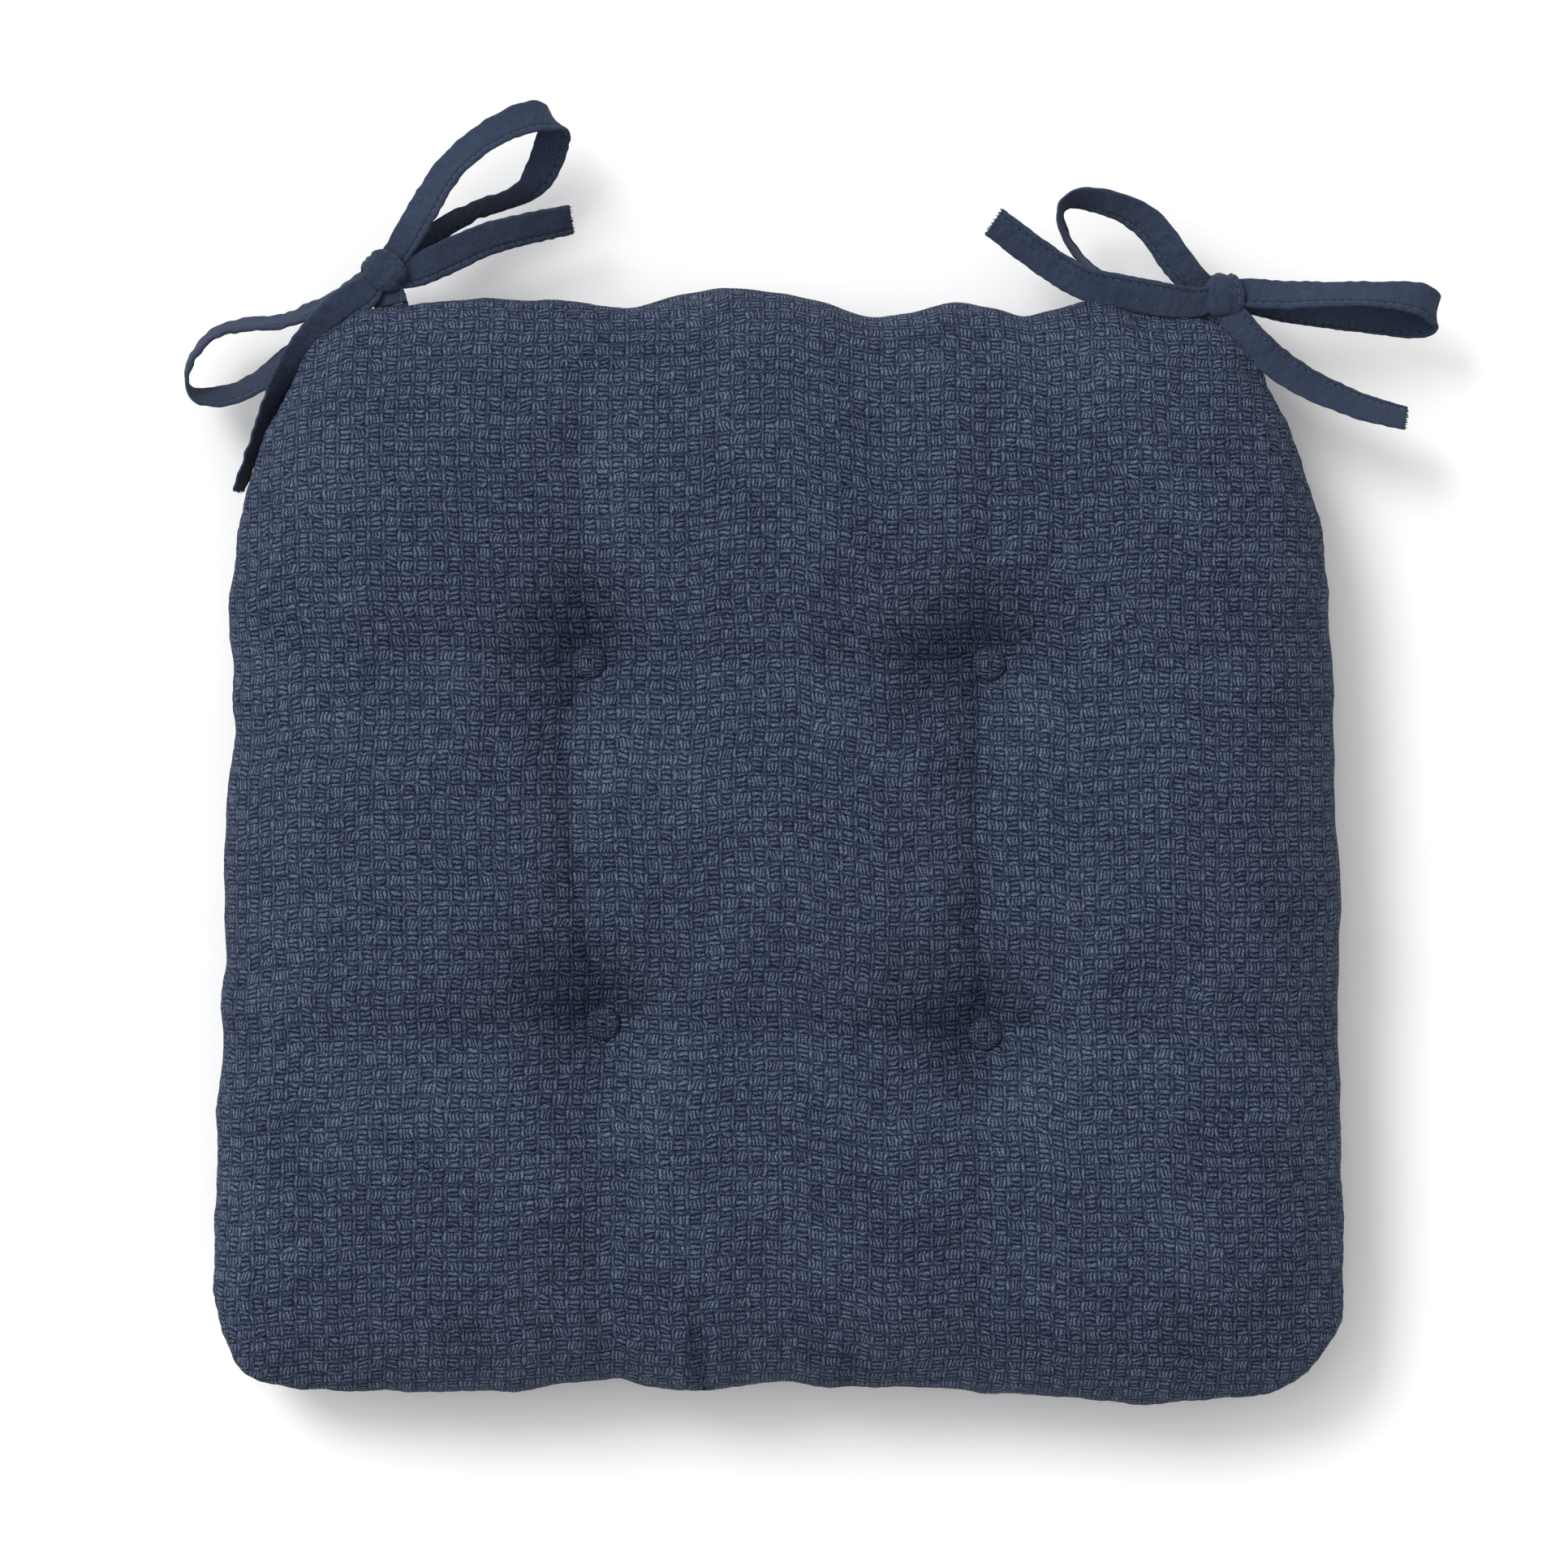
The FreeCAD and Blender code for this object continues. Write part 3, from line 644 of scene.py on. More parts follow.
# Places across a strap, -1 to 1, and the share of its thickness there: thin edges, and a stitched groove by a hem.
ACROSS_STRAP = {
    -1: 0.35, -0.94: 1, -0.8: 1, -0.6: 1, -0.35: 1, 0: 1, 0.32: 1, 0.56: 1, 0.64: 0.5, 0.72: 1.35, 0.9: 1.35, 1: 0.35,
}


def course(controls):
    """A smooth course through control rows of any width, in even steps of about 0.9 mm."""
    rows = np.asarray(controls, float)
    padded = np.vstack([2 * rows[0] - rows[1], rows, 2 * rows[-1] - rows[-2]])
    share = np.linspace(0, 1, 24, endpoint=False)[:, None]
    runs = []
    for a, b, c, d in zip(padded[:-3], padded[1:-2], padded[2:-1], padded[3:]):
        square, cube = 2 * a - 5 * b + 4 * c - d, 3 * b - a - 3 * c + d
        runs.append(0.5 * (2 * b + (c - a) * share + square * share**2 + cube * share**3))
    dense = np.vstack([*runs, rows[-1:]])
    kernel = np.array([1, 4, 6, 4, 1]) / 16
    for _ in range(6):
        smooth = np.vstack([dense[:1], dense[:1], dense, dense[-1:], dense[-1:]])
        dense = sum(k * smooth[n : n + len(dense)] for n, k in enumerate(kernel))
    dense[0], dense[-1] = rows[0], rows[-1]
    along = lengths_along(dense[:, :3])
    count = max(int(along[-1] / 0.9), 4)
    places = np.linspace(0, along[-1], count + 1)
    return np.column_stack([np.interp(places, along, column) for column in dense.T]), along[-1]


def lying(x, y, z, heading, tilt, share=1.0):
    """A control row of a strap: its point, the way its stitched edge points, and the share of its width there."""
    a, e = radians(heading), radians(tilt)
    return (x, y, z, cos(a) * cos(e), sin(a) * cos(e), sin(e), share)


def strap(name, controls, seed, fray_end=False):
    """A narrow fabric tie swept along its course, with a stitched edge, puckers and a soft hollow across it."""
    rows, length = course([lying(*row) for row in controls])
    centre, edge_way, widths = rows[:, :3], rows[:, 3:6], rows[:, 6]
    tangent = unit(np.gradient(centre, axis=0))
    edge_way = unit(edge_way - tangent * np.sum(edge_way * tangent, axis=1, keepdims=True))
    normal = np.cross(tangent, edge_way)
    along = np.linspace(0, length, len(rows))
    half = TIE_WIDTH / 2 * widths
    pucker_a = 0.16 * waves(along, seed * 9.0, seed, 5, 2)
    pucker_b = 0.16 * waves(along, seed * 5.0, seed + 50, 4, 2)
    cup = 0.5 * waves(along, seed * 3.0, seed + 9, 40)
    upper, lower, uv_rows = [], [], []
    for offset, fullness in ACROSS_STRAP.items():
        reach = offset * half + (pucker_b if offset > 0 else pucker_a) * abs(offset) ** 3
        hollow = cup * (offset**2 - 0.4) + 0.38 * offset**2 * waves(along, offset * 2.0, seed + 3, 7, 2)
        hollow = hollow + 0.22 * waves(along, offset * 5.0, seed + 6, 9, 2)
        middle = centre + edge_way * reach[:, None] + normal * hollow[:, None]
        thick = normal * TIE_HALF_THICK * fullness
        upper.append(middle + thick)
        lower.append(middle - thick)
        uv_rows.append(np.c_[np.full(len(along), offset * TIE_WIDTH / 2), along])
    round_count, count = 2 * len(upper), len(along)
    verts = np.stack(upper + lower[::-1], axis=1).reshape(-1, 3)
    uv = np.stack(uv_rows + uv_rows[::-1], axis=1).reshape(-1, 2) * MM
    faces = [*tube_faces(count, round_count)]
    for first, way in ((0, -1), ((count - 1) * round_count, 1)):
        last = first + round_count - 1
        for k in range(len(upper) - 1):
            faces.append((first + k, first + k + 1, last - k - 1, last - k)[::way])
    pieces = [(verts, [f[::-1] for f in faces], uv)]
    if fray_end:
        rng = np.random.default_rng(seed)
        for _ in range(26):
            place = centre[-1] + edge_way[-1] * rng.uniform(-6, 6)
            away = tangent[-1] + edge_way[-1] * rng.uniform(-0.7, 0.7) + normal[-1] * rng.uniform(-0.3, 0.5)
            reach = rng.uniform(0.2, 0.9)
            bend = edge_way[-1] * rng.uniform(-0.6, 0.6)
            points = [place - tangent[-1] * 0.6, place + away * reach * 0.5, place + away * reach + bend]
            pieces.append(tube(points, 0.17, 4))
    return joined(name, pieces), length


# Control rows of each strap: x, y, z in millimetres, then heading and tilt of the stitched edge in degrees, and,
# where the strap is gathered, the share of its width.
STRAPS = {
    "left_upper_loop": [
        (-142.5, 206.5, 29.5, -35, 0, 0.7), (-137, 213.5, 32.5, -33, 5, 0.8), (-128, 228, 35, -33, 25),
        (-119.2, 242, 36.5, -38, 32), (-108.3, 252.3, 37, -50, 30), (-96.5, 259.2, 37, -60, 24),
        (-86, 262.4, 35.5, -54, 10), (-80.2, 260.5, 30.5, -48, 0), (-81.6, 254, 24.5, -50, -12),
        (-86, 243.2, 22, -46, -26), (-94, 235.2, 22, -57, -60), (-110.5, 229, 23.5, -60, -66),
        (-125, 220.4, 26, -50, -58), (-133.5, 212, 27.5, -45, -45, 0.8), (-142, 206, 28, -40, -30, 0.6),
    ],
    "left_lower_loop": [
        (-143, 207, 28.5, -60, 20, 0.6), (-149.8, 203.6, 28, -60, 45, 0.85), (-161, 196.6, 27, -68, 60),
        (-178, 189.6, 26, -80, 63), (-192, 188.2, 25.5, -85, 66), (-203.2, 185.2, 25.5, -70, 70),
        (-210.6, 177.4, 25.5, -50, 74), (-213.2, 169.6, 25.5, -60, 74), (-210.6, 163.6, 25, -80, 64),
        (-203.6, 162.2, 24.5, -88, 54), (-194.8, 164.2, 24, -82, 50), (-186, 169.2, 23.5, -65, 50),
        (-178, 176.2, 23.5, -55, 54), (-165.1, 187.6, 24, -50, 58), (-153.5, 197.6, 25.5, -50, 45, 0.8),
        (-144, 205, 27, -50, 20, 0.6),
    ],
    "left_upper_tail": [
        (-141.5, 205, 30, -45, 0, 0.7), (-131, 206.8, 31.5, -52, -6, 0.9), (-120.5, 211.4, 32.5, -60, -16),
        (-106, 218, 32, -67, -26), (-91, 222.2, 30.5, -74, -32), (-74.6, 225.8, 28.5, -78, -36),
    ],
    "left_lower_tail": [
        (-145.6, 202.2, 33.6, -50, 0, 0.75), (-149, 198.4, 35, -50, -4, 0.95), (-157.5, 192.8, 35.5, -45, -16),
        (-167.4, 182.6, 34.5, -38, -26), (-175.6, 171, 32, -28, -42), (-181.6, 160.4, 29, -25, -60),
        (-186.6, 149.4, 26.5, -20, -72), (-190.6, 139, 25, -15, -76), (-194.6, 128.6, 24, -15, -78),
    ],
    "right_inner_loop": [
        (158.5, 198.5, 29, 215, -10, 0.7), (150, 202.5, 30.5, 213, -15, 0.9), (142, 211.5, 31, 213, -22),
        (135.6, 220.6, 31, 215, -28), (128.2, 227.4, 30.5, 222, -36), (118.5, 231.4, 30, 240, -46),
        (109.5, 233.2, 29, 255, -58), (103, 231.8, 28.5, 300, -72), (100.7, 227, 28, 0, -78),
        (103, 219.5, 27.5, 20, -76), (109.8, 210.6, 27.5, 35, -75), (118.5, 204, 28, 50, -72),
        (130.5, 200.6, 28.5, 70, -66), (145, 198.6, 29, 75, -50, 0.9), (158, 198, 28, 75, -30, 0.6),
    ],
    "right_inner_tail": [
        (154, 196.6, 34, 85, 0, 0.75), (147, 195.4, 37, 84, -4, 0.9), (135, 196.6, 40.5, 80, 4),
        (121.6, 199.2, 40, 72, 14), (110, 202, 38.5, 64, 22), (98.8, 208.2, 37, 57, 27), (87.4, 216.4, 36, 54, 30),
        (77, 224.4, 35, 50, 32),
    ],
    "right_outer_loop": [
        (159.5, 198.5, 30, -75, 0, 0.7), (167, 199.2, 32.5, -80, 15, 0.85), (181, 198.4, 34.5, -84, 34),
        (203, 198.6, 35.5, -88, 42), (219.8, 198, 35.5, -92, 34), (230.4, 196.6, 34.5, -96, 16),
        (236, 192.6, 29, -98, 0), (230.4, 189.6, 23.5, -95, -18), (219, 190, 22, -90, -34),
        (203, 191.4, 22.5, -88, -44), (184, 193.4, 24, -85, -50), (169.5, 195.8, 26, -80, -45, 0.85),
        (159, 197.5, 27.5, -75, -20, 0.6),
    ],
    "right_outer_tail": [
        (158.5, 197.5, 29.5, 55, 0, 0.7), (163.8, 188.8, 34, 55, -8, 0.9), (172.6, 178.4, 36.5, 55, -15),
        (186, 168.6, 35, 57, -24), (200.8, 161.4, 34, 62, -34), (213.1, 157, 33.5, 70, -40),
        (224.9, 154.2, 33, 78, -44),
    ],
}
BOW_KNOTS = {"left": (-141.8, 206.4, 28.6), "right": (158.8, 198.0, 28.6)}
BOW_SEAMS = {"left": (-138.5, 191.7, SEAM_Z), "right": (152.0, 189.6, SEAM_Z)}


def knot_parts(centre, bow_heading, seed, band_width):
    """A half-hitch: a lumpy core of crossed strap and two bands drawn tight over it."""
    heading = radians(bow_heading)
    forward = np.array([cos(heading), sin(heading), 0.0])
    aside = np.array([-sin(heading), cos(heading), 0.0])
    up = np.array([0.0, 0.0, 1.0])
    rows, sides = 26, 44
    turn = np.linspace(0, 2 * pi, sides, endpoint=False)
    verts, uv = [], []
    for polar in pi * np.arange(rows) / (rows - 1):
        local = 1 + 0.05 * (0.35 * np.sin(3 * turn + seed) + 0.25 * np.sin(7 * polar + 2 * turn))
        px = -6.8 * cos(polar) * np.ones(sides)
        py = 5.4 * sin(polar) * np.cos(turn) * local
        pz = 5.2 * sin(polar) * np.sin(turn) * local
        verts.append(np.array(centre) + px[:, None] * forward + py[:, None] * aside + pz[:, None] * up)
        uv.append(np.c_[px, 6 * turn] * MM)
    parts = [(np.vstack(verts), tube_faces(rows, sides)[:, ::-1], np.vstack(uv))]
    steps, across = 90, 13
    offsets = np.linspace(-1, 1, across)
    bands = ((0.3, 1.0, band_width, -0.9, 2 * pi), (-0.42, 0.93, band_width * 0.62, 0.4, 5.0))
    for skew, size, width, start, sweep in bands:
        turn = start + np.linspace(0, sweep, steps)
        lean = np.sin(turn + seed)
        sheets = []
        for side in (1, -1):
            points = np.zeros((steps, across, 3))
            for j, offset in enumerate(offsets):
                width_here = width / 2 * (1 - 0.18 * np.cos(2 * turn) - 0.1 * lean)
                shift = offset * width_here + skew * 6.0 * np.sin(turn)
                sag = 0.9 * abs(offset) ** 3
                fold = np.exp(-(((offset - 0.25 - 0.35 * lean) / 0.16) ** 2))
                ripple = 0.3 * np.sin(offset * 6 + 3 * lean) - 0.85 * fold
                ripple = ripple + 0.2 * waves(turn * 6, offset * 4.0, seed, 5)
                flat = 1 - 0.1 * np.sin(2 * turn) ** 2
                reach_y = (7.9 - sag + ripple + side * 0.5) * size / flat * np.cos(turn)
                reach_z = (6.9 - sag + ripple + side * 0.5) * size / flat * np.sin(turn)
                ways = shift[:, None] * forward + reach_y[:, None] * aside + reach_z[:, None] * up
                points[:, j] = np.array(centre) + ways
            sheets.append(points.reshape(-1, 3))
        band_uv = np.dstack(np.meshgrid(offsets * width / 2, turn * 7.4)).reshape(-1, 2) * MM
        parts.append((np.vstack(sheets), shell_faces(steps, across), np.vstack([band_uv, band_uv])))
    return parts


def leaving(bow):
    """Where a bow's tie leaves the seam, its way in the plan to the knot, and the heading of its stitched edge."""
    seam, knot = np.array(BOW_SEAMS[bow]), np.array(BOW_KNOTS[bow])
    way = (knot - seam)[:2] / np.linalg.norm((knot - seam)[:2])
    return seam, way, np.degrees(np.arctan2(-way[0], way[1]))


def neck_parts(bow, seed):
    """The two layers of tie that run together from the seam to the knot."""
    seam, way, heading = leaving(bow)
    start = seam + np.r_[way, 0] * 3.2
    parts = []
    for layer, lift in enumerate((-0.75, 0.75)):
        rows = []
        for share in np.linspace(0, 1, 6):
            x, y, z = start * (1 - share) + np.array(BOW_KNOTS[bow]) * share
            rows.append((x, y, z + lift * (1 - 0.4 * share), heading, 4 * sin(share * 3 + layer), 0.98 - 0.22 * share))
        made, _ = strap("layer", rows, seed + layer)
        parts.append((points_of(made.data), [tuple(p.vertices) for p in made.data.polygons], cloth_places(made.data)))
        bpy.data.objects.remove(made)
    return parts


# --- materials


class Wire:
    """A shader value that can be reckoned with: each operation adds a Math node."""

    def __init__(self, graph, socket):
        self.graph, self.socket = graph, socket

    def __add__(self, other):
        return self.graph.math("ADD", self, other)

    def __sub__(self, other):
        return self.graph.math("SUBTRACT", self, other)

    def __rsub__(self, other):
        return self.graph.math("SUBTRACT", other, self)

    def __mul__(self, other):
        return self.graph.math("MULTIPLY", self, other)

    def __truediv__(self, other):
        return self.graph.math("DIVIDE", self, other)

    __radd__, __rmul__ = __add__, __mul__

    def to(self, operation, *others):
        return self.graph.math(operation, self, *others)

    def clamped(self):
        self.socket.node.use_clamp = True
        return self


class Graph:
    """Short names for shader nodes in one material."""

    def __init__(self, name, roughness, sheen=0.0, metallic=0.0):
        self.material = bpy.data.materials.new(name)
        self.material.use_nodes = True
        self.tree = self.material.node_tree
        self.shader = self.tree.nodes["Principled BSDF"]
        settings = {
            "Roughness": roughness, "Metallic": metallic, "Sheen Weight": sheen, "Sheen Roughness": 0.5,
            "Specular IOR Level": 0.5 if metallic else 0.15,
        }
        for socket, value in settings.items():
            self.shader.inputs[socket].default_value = value

    def put(self, socket, value):
        if isinstance(value, Wire):
            self.tree.links.new(value.socket, socket)
        else:
            socket.default_value = value

    def node(self, kind, out, inputs, **settings):
        """A node with its inputs, by name or number, filled in: the value at the named or numbered output."""
        made = self.tree.nodes.new(kind)
        for key, value in settings.items():
            setattr(made, key, value)
        for socket, value in inputs.items():
            self.put(made.inputs[socket], value)
        return Wire(self, made.outputs[out])

    def math(self, operation, *values):
        return self.node("ShaderNodeMath", 0, dict(enumerate(values)), operation=operation)

    def join(self, x, y, z=0.0):
        return self.node("ShaderNodeCombineXYZ", 0, {0: x, 1: y, 2: z})

    def uv(self):
        parts = self.node("ShaderNodeSeparateXYZ", 0, {0: self.node("ShaderNodeUVMap", 0, {}, uv_map="cloth")})
        return parts, Wire(self, parts.socket.node.outputs[1])

    def place(self):
        return self.node("ShaderNodeTexCoord", "Object", {})

    def noise(self, vector, scale, detail=2.0, roughness=0.5):
        inputs = {"Vector": vector, "Scale": scale, "Detail": detail, "Roughness": roughness}
        return self.node("ShaderNodeTexNoise", "Fac", inputs)

    def white(self, x, y, z):
        inputs = {"Vector": self.join(x, y, z)}
        return self.node("ShaderNodeTexWhiteNoise", "Value", inputs, noise_dimensions="3D")

    def mix(self, share, first, second):
        return self.node("ShaderNodeMix", 0, {0: share, 2: first, 3: second}, data_type="FLOAT")

    def ramp(self, share, *stops):
        made = self.node("ShaderNodeValToRGB", 0, {0: share})
        elements = made.socket.node.color_ramp.elements
        while len(elements) < len(stops):
            elements.new(0.5)
        for element, (position, colour) in zip(elements, stops):
            element.position = position
            element.color = (*colour, 1)
        return made

    def finish(self, colour, height, strength=1.0):
        self.put(self.shader.inputs["Base Color"], colour)
        bump = self.node("ShaderNodeBump", 0, {"Strength": strength, "Distance": 1.0, "Height": height})
        self.put(self.shader.inputs["Normal"], bump)
        return self.material


def basket_weave():
    """Fancy basket weave of thick heathered yarn.

    Blocks of two floats across alternate with blocks of three floats upright. A single weft floats over each block
    between the rows, and a single warp beside each block between the columns.
    """
    g = Graph("basket_weave_cloth", 0.85)
    u, v = g.uv()
    flat = g.join(u, v)
    curl_u = (g.noise(flat, 330, 2) - 0.5) * 0.36
    curl_v = (g.noise(g.join(v, u, 3.0), 330, 2) - 0.5) * 0.36
    u, v = u / CELL_WIDE + curl_u, v / CELL_LONG + curl_v
    column, row = u.to("FLOOR"), v.to("FLOOR")
    a, b = u.to("FRACT"), v.to("FRACT")
    in_column, in_row = a.to("LESS_THAN", COLUMN_SHARE), b.to("LESS_THAN", ROW_SHARE)
    odd = (column + row).to("FLOORED_MODULO", 2.0)
    shows_weft = in_column * (1.0 - in_row * odd)
    shows_warp = in_row * (1.0 - in_column * (1.0 - odd))
    slant = (g.white(column, row, 9.0) - 0.5) * 2.4

    def yarns(along, lanes, over, floats, share):
        """Height, tone and fuzz of the yarns that run one way, in lanes, over the share of a cell that they float."""
        offset = lanes.to("FRACT") * 2.0 - 1.0
        body = (1.0 - offset * offset).clamped() * 0.9 + 0.1
        end = (over / (share / 2) - 1.0).to("ABSOLUTE")
        arch = (1.0 - end.to("POWER", 6.0) * 0.5).clamped()
        tone = g.white(along.to("FLOOR"), lanes.to("FLOOR"), share)
        fuzz = g.noise(g.join(along * 2.5, lanes * 5.0, share), 1.0, 3, 0.7)
        return floats * body * arch, tone, fuzz

    narrow = (a - COLUMN_SHARE) / (1 - COLUMN_SHARE) + 3.0
    wide = a / (COLUMN_SHARE / 3) + slant * (b - ROW_SHARE / 2)
    warp_lanes = g.mix(in_column, narrow, wide) + column * 4.0
    weft_lanes = v * 3.0 + slant * ((a - COLUMN_SHARE / 2) * 0.5)
    weft, weft_tone, weft_fuzz = yarns(u, weft_lanes, a, shows_weft, COLUMN_SHARE)
    warp, warp_tone, warp_fuzz = yarns(v, warp_lanes, b, shows_warp, ROW_SHARE)
    height = weft.to("MAXIMUM", warp)
    under = 1.0 - shows_weft.to("MAXIMUM", shows_warp)
    tone, fuzz = g.mix(shows_warp, weft_tone, warp_tone), g.mix(shows_warp, weft_fuzz, warp_fuzz)
    ridges = (g.noise(flat, 900, 1, 0.6) - 0.5).to("ABSOLUTE") * 2.0
    # The colour follows the yarns' height. It paints shade in the gaps between yarns and where their floats dip at the
    # ends, and paints light on their rounded tops. Where only the yarn underneath shows, it paints shade at a tone of
    # 0.43. Upright blocks are drawn a little lighter and weft floats a little darker.
    lit = height * (tone * 0.27 + 0.64) + (shows_warp * in_column * 0.07 - shows_weft * 0.05)
    shade = lit.to("MAXIMUM", under * 0.43) + (fuzz - 0.5) * 0.6 + (ridges - 0.2)
    shade = shade + (g.noise(flat, 1900, 1) - 0.5) * 1.3 + (g.noise(flat, 26, 3, 0.6) - 0.5) * 0.3
    colour = g.ramp(
        shade.clamped(), (0.0, (0.0015, 0.004, 0.017)), (0.25, (0.0105, 0.0172, 0.0405)),
        (0.5, (0.0345, 0.0472, 0.082)), (0.75, (0.0665, 0.0865, 0.136)), (1.0, (0.122, 0.152, 0.22)),
    )
    return g.finish(colour, (height.to("MAXIMUM", 0.3) + fuzz * 0.3) * 0.0006)


def tie_weave():
    """Fine plain weave, brushed, with a line of stitches near one edge."""
    g = Graph("plain_weave_tie", 0.9, sheen=0.05)
    u, v = g.uv()
    flat = g.join(u, v)
    weave = (u * (2 * pi / 0.00055)).to("SINE") * (v * (2 * pi / 0.0005)).to("SINE")
    nap = g.noise(flat, 1500, 3, 0.65)
    streaks = g.noise(g.join(u * 3.0, v), 420, 2)
    patches = g.noise(g.place(), 60, 2)
    wrinkles = g.noise(g.join(u, v * 1.6), 190, 2)
    from_line = (u - 0.004).to("ABSOLUTE")
    stitches = from_line.to("LESS_THAN", 0.00026) * (v / 0.0031).to("FRACT").to("LESS_THAN", 0.74)
    groove = (1.0 - from_line / 0.0008).clamped()
    # Painted shade: the colour is darker along the stitched groove by the hem.
    shade = (nap - 0.5) * 0.75 + 0.42 + (streaks - 0.5) * 0.35 + (patches - 0.5) * 0.25 - groove * 0.34
    shade = (shade + stitches * 0.62).clamped()
    colour = g.ramp(
        shade, (0.0, (0.009, 0.014, 0.03)), (0.4, (0.025, 0.036, 0.066)), (0.7, (0.041, 0.057, 0.098)),
        (1.0, (0.072, 0.096, 0.146)),
    )
    return g.finish(colour, weave * 0.00004 + nap * 0.00016 + (stitches - groove) * 0.00022 + wrinkles * 0.0012)


def spun(name, dark, light, pitch, roughness=0.75):
    """Thread or twine: fine diagonal strands."""
    g = Graph(name, roughness, sheen=0.1)
    u, v = g.uv()
    lay = ((u * 1.4 + v) * (2 * pi / pitch)).to("SINE")
    shade = (lay * 0.28 + g.noise(g.join(u, v), 2600, 2)).clamped()
    return g.finish(g.ramp(shade, (0.0, dark), (1.0, light)), shade * 0.00012)


def cloudy_fibre():
    g = Graph("loose_fibre", 0.95, sheen=0.3)
    shade = (g.noise(g.place(), 240, 5, 0.7) + g.noise(g.join(*g.uv()), 900, 4, 0.75)) * 0.5
    return g.finish(g.ramp(shade, (0.25, (0.62, 0.62, 0.6)), (0.7, (0.88, 0.88, 0.86))), shade * 0.0025)


def grained(name, roughness, scale, detail, dark, light, relief, strength=1.0, metallic=0.0):
    """A plain stuff with a fine grain: its two tones are stops of a ramp."""
    g = Graph(name, roughness, metallic=metallic)
    grain = g.noise(g.place(), scale, 3, detail)
    return g.finish(g.ramp(grain, dark, light), grain * relief, strength)


# --- build


def dress(made, material):
    made.data.materials.clear()
    made.data.materials.append(material)


def wear(made, stuff, body, node):
    """Gives a piece its material, lets it ride on a body and stand in for a CAD node."""
    material, slot = stuff
    dress(made, material)
    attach(made, body)
    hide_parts(node)
    return made


COVER, TIE, FIBRE = (basket_weave(), "cover_cloth"), (tie_weave(), "tie_cloth"), (cloudy_fibre(), "fill")
THREAD = spun("sewing_thread", (0.012, 0.018, 0.036), (0.07, 0.09, 0.14), 0.0005), "thread"
TWINE = spun("waxed_twine", (0.01, 0.015, 0.032), (0.06, 0.08, 0.12), 0.0008, 0.55), "twine"
METAL = grained(
    "pressed_satin_metal", 0.38, 1800, 0.6, (0.3, (0.48, 0.48, 0.49)), (0.7, (0.62, 0.62, 0.63)), 0.00003, metallic=1.0
)
PLASTIC = grained(
    "moulded_white_plastic", 0.55, 1200, 0.6, (0.3, (0.72, 0.72, 0.7)), (0.7, (0.8, 0.8, 0.78)), 0.00004
)
PAPER = grained(
    "studio_floor", 0.9, 30, 0.5, (0.0, (0.9, 0.9, 0.9)), (1.0, (0.92, 0.92, 0.92)), 0.00005, strength=0.2
)

upper = wear(upper_panel(), COVER, "root", "top_cover")
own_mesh(upper)

lower = wear(lower_panel(), COVER, "root", "bottom_cover")

fibre = wear(fibre_body(), FIBRE, "root", "fibre_fill")
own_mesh(fibre)

closing_first, closing_last = place_nearest((75, 195)), place_nearest((-75, 195))
for name, node, first, last, pitch, length, level, inset in (
    ("seam_line_stitches", "perimeter_seam", closing_last, closing_first + PERIMETER, 3.0, 2.5, SEAM_Z, 1.1),
    ("closing_line_stitches", "closing_seam", closing_first, closing_last, 4.2, 3.2, SEAM_Z - 0.6, 1.0),
):
    wear(seam_stitches(name, first, last, pitch, length, level, inset), THREAD, "root", node)

for n, (name, (tx, ty)) in enumerate(zip(TUFT_NAMES, TUFTS)):
    for level, seat, way, seed, body in (
        ("upper", UPPER_CAP_SEAT, 1, 5 + n, "tuft_buttons"), ("lower", LOWER_CAP_SEAT, -1, 15 + n, "root"),
    ):
        cap = covered_button(f"{name}_{level}_gathered_cap", tx, ty, seat, way, seed)
        wear(cap, COVER, body, f"{name}_{level}_button_cap")
        for part, material in (("shell", METAL), ("back", PLASTIC)):
            dress(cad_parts[f"{name}_{level}_button_{part}"], material)
    twine = twisted_twine(f"{name}_laid_twine", tx, ty, TWINE_LOW, TWINE_HIGH)
    wear(twine, TWINE, "root", f"{name}_tuft_twine")
    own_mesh(twine)

for n, (node, controls) in enumerate(STRAPS.items()):
    looped = "loop" in node
    made, length = strap(f"{node}_strap", controls, 60 + n, fray_end=not looped)
    wear(made, TIE, f"{node}_body", node)
    length * MM

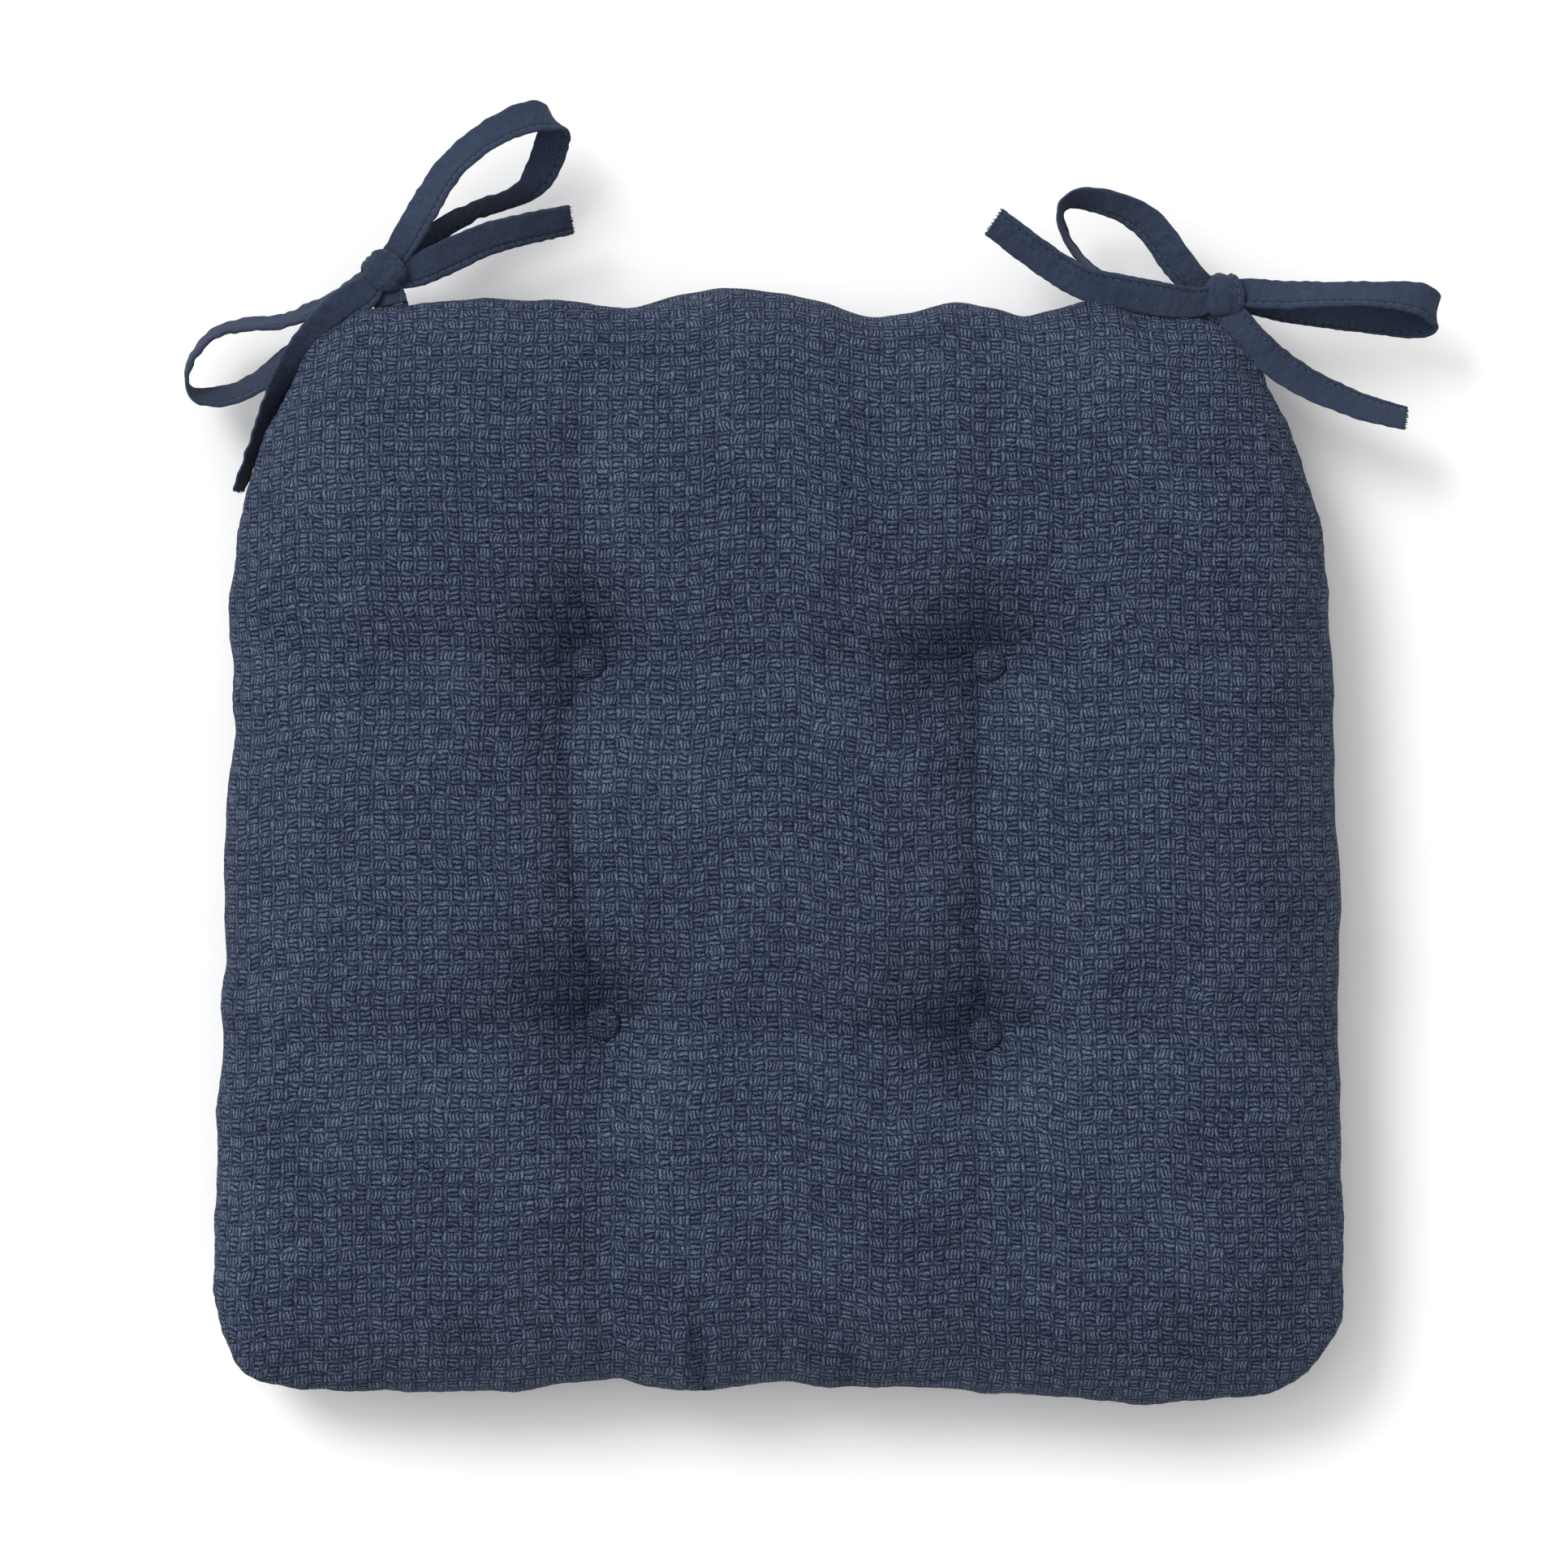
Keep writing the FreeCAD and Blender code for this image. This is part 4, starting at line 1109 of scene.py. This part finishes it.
# Each bow's heading, the seeds of its knot, neck and tab, and the width of the band round its knot.
for bow, heading, seed, neck_seed, tab_seed, band in (("left", 48, 3, 80, 90, 9.5), ("right", 4, 7, 83, 91, 11.5)):
    knot = joined(f"{bow}_wrapped_knot", knot_parts(BOW_KNOTS[bow], heading, seed, band))
    wear(knot, TIE, f"{bow}_bow", f"{bow}_tie_knot")
    wear(joined(f"{bow}_neck_strap", neck_parts(bow, neck_seed)), TIE, f"{bow}_bow", f"{bow}_tie_neck")
    seam, way, edge = leaving(bow)
    rows = [(*(seam[:2] + way * d), SEAM_Z, edge, 0, 0.98) for d in (-10, -6, -2, 2.9)]
    wear(strap(f"{bow}_sewn_tab", rows, tab_seed)[0], TIE, "root", f"{bow}_tie_tab")
    across = np.array([-way[1], way[0]])
    corners = [seam[:2] + way * (1.0 if k % 2 else 2.5) + across * (-5 + k * 0.95) for k in range(12)]
    zigzag = [stitch([*a, 32.75], [*b, 32.75], [0, 0, 0.35], 0.24) for a, b in zip(corners, corners[1:])]
    wear(joined(f"{bow}_zigzag_bartack", zigzag), THREAD, "root", f"{bow}_tie_bartack")


# --- stage


def stage():
    corners = ((-1, -1), (1, -1), (1, 1), (-1, 1))
    floor = new_mesh("floor", [(x * FLOOR_REACH, y * FLOOR_REACH, 0) for x, y in corners], [range(4)])
    floor.data.materials.append(PAPER)

    look_at, distance, width_seen = Vector((1.8, 23.0, 32.0)) * MM, 2.4, 0.5626
    lens = bpy.data.cameras.new("camera")
    lens.sensor_width = 36
    lens.lens = lens.sensor_width * distance / width_seen
    camera = added("camera", lens)
    camera.location = look_at + Vector((0, 0, distance))
    bpy.context.scene.camera = camera

    for name, way, angle, energy in (
        ("key", (0.66, -0.66, -1.0), 24, 1.5), ("soft_box", (0.72, -0.68, -1.0), 76, 1.5),
        ("fill", (-0.6, 0.5, -1.0), 90, 0.2),
    ):
        light = bpy.data.lights.new(name, "SUN")
        light.angle = radians(angle)
        light.energy = energy
        added(name, light).rotation_euler = Vector(way).to_track_quat("-Z", "Y").to_euler()

    world = bpy.data.worlds.new("studio")
    world.use_nodes = True
    world.node_tree.nodes["Background"].inputs["Color"].default_value = (1, 1, 1, 1)
    world.node_tree.nodes["Background"].inputs["Strength"].default_value = 0.58
    bpy.context.scene.world = world
    bpy.context.scene.view_settings.view_transform = "Standard"


stage()
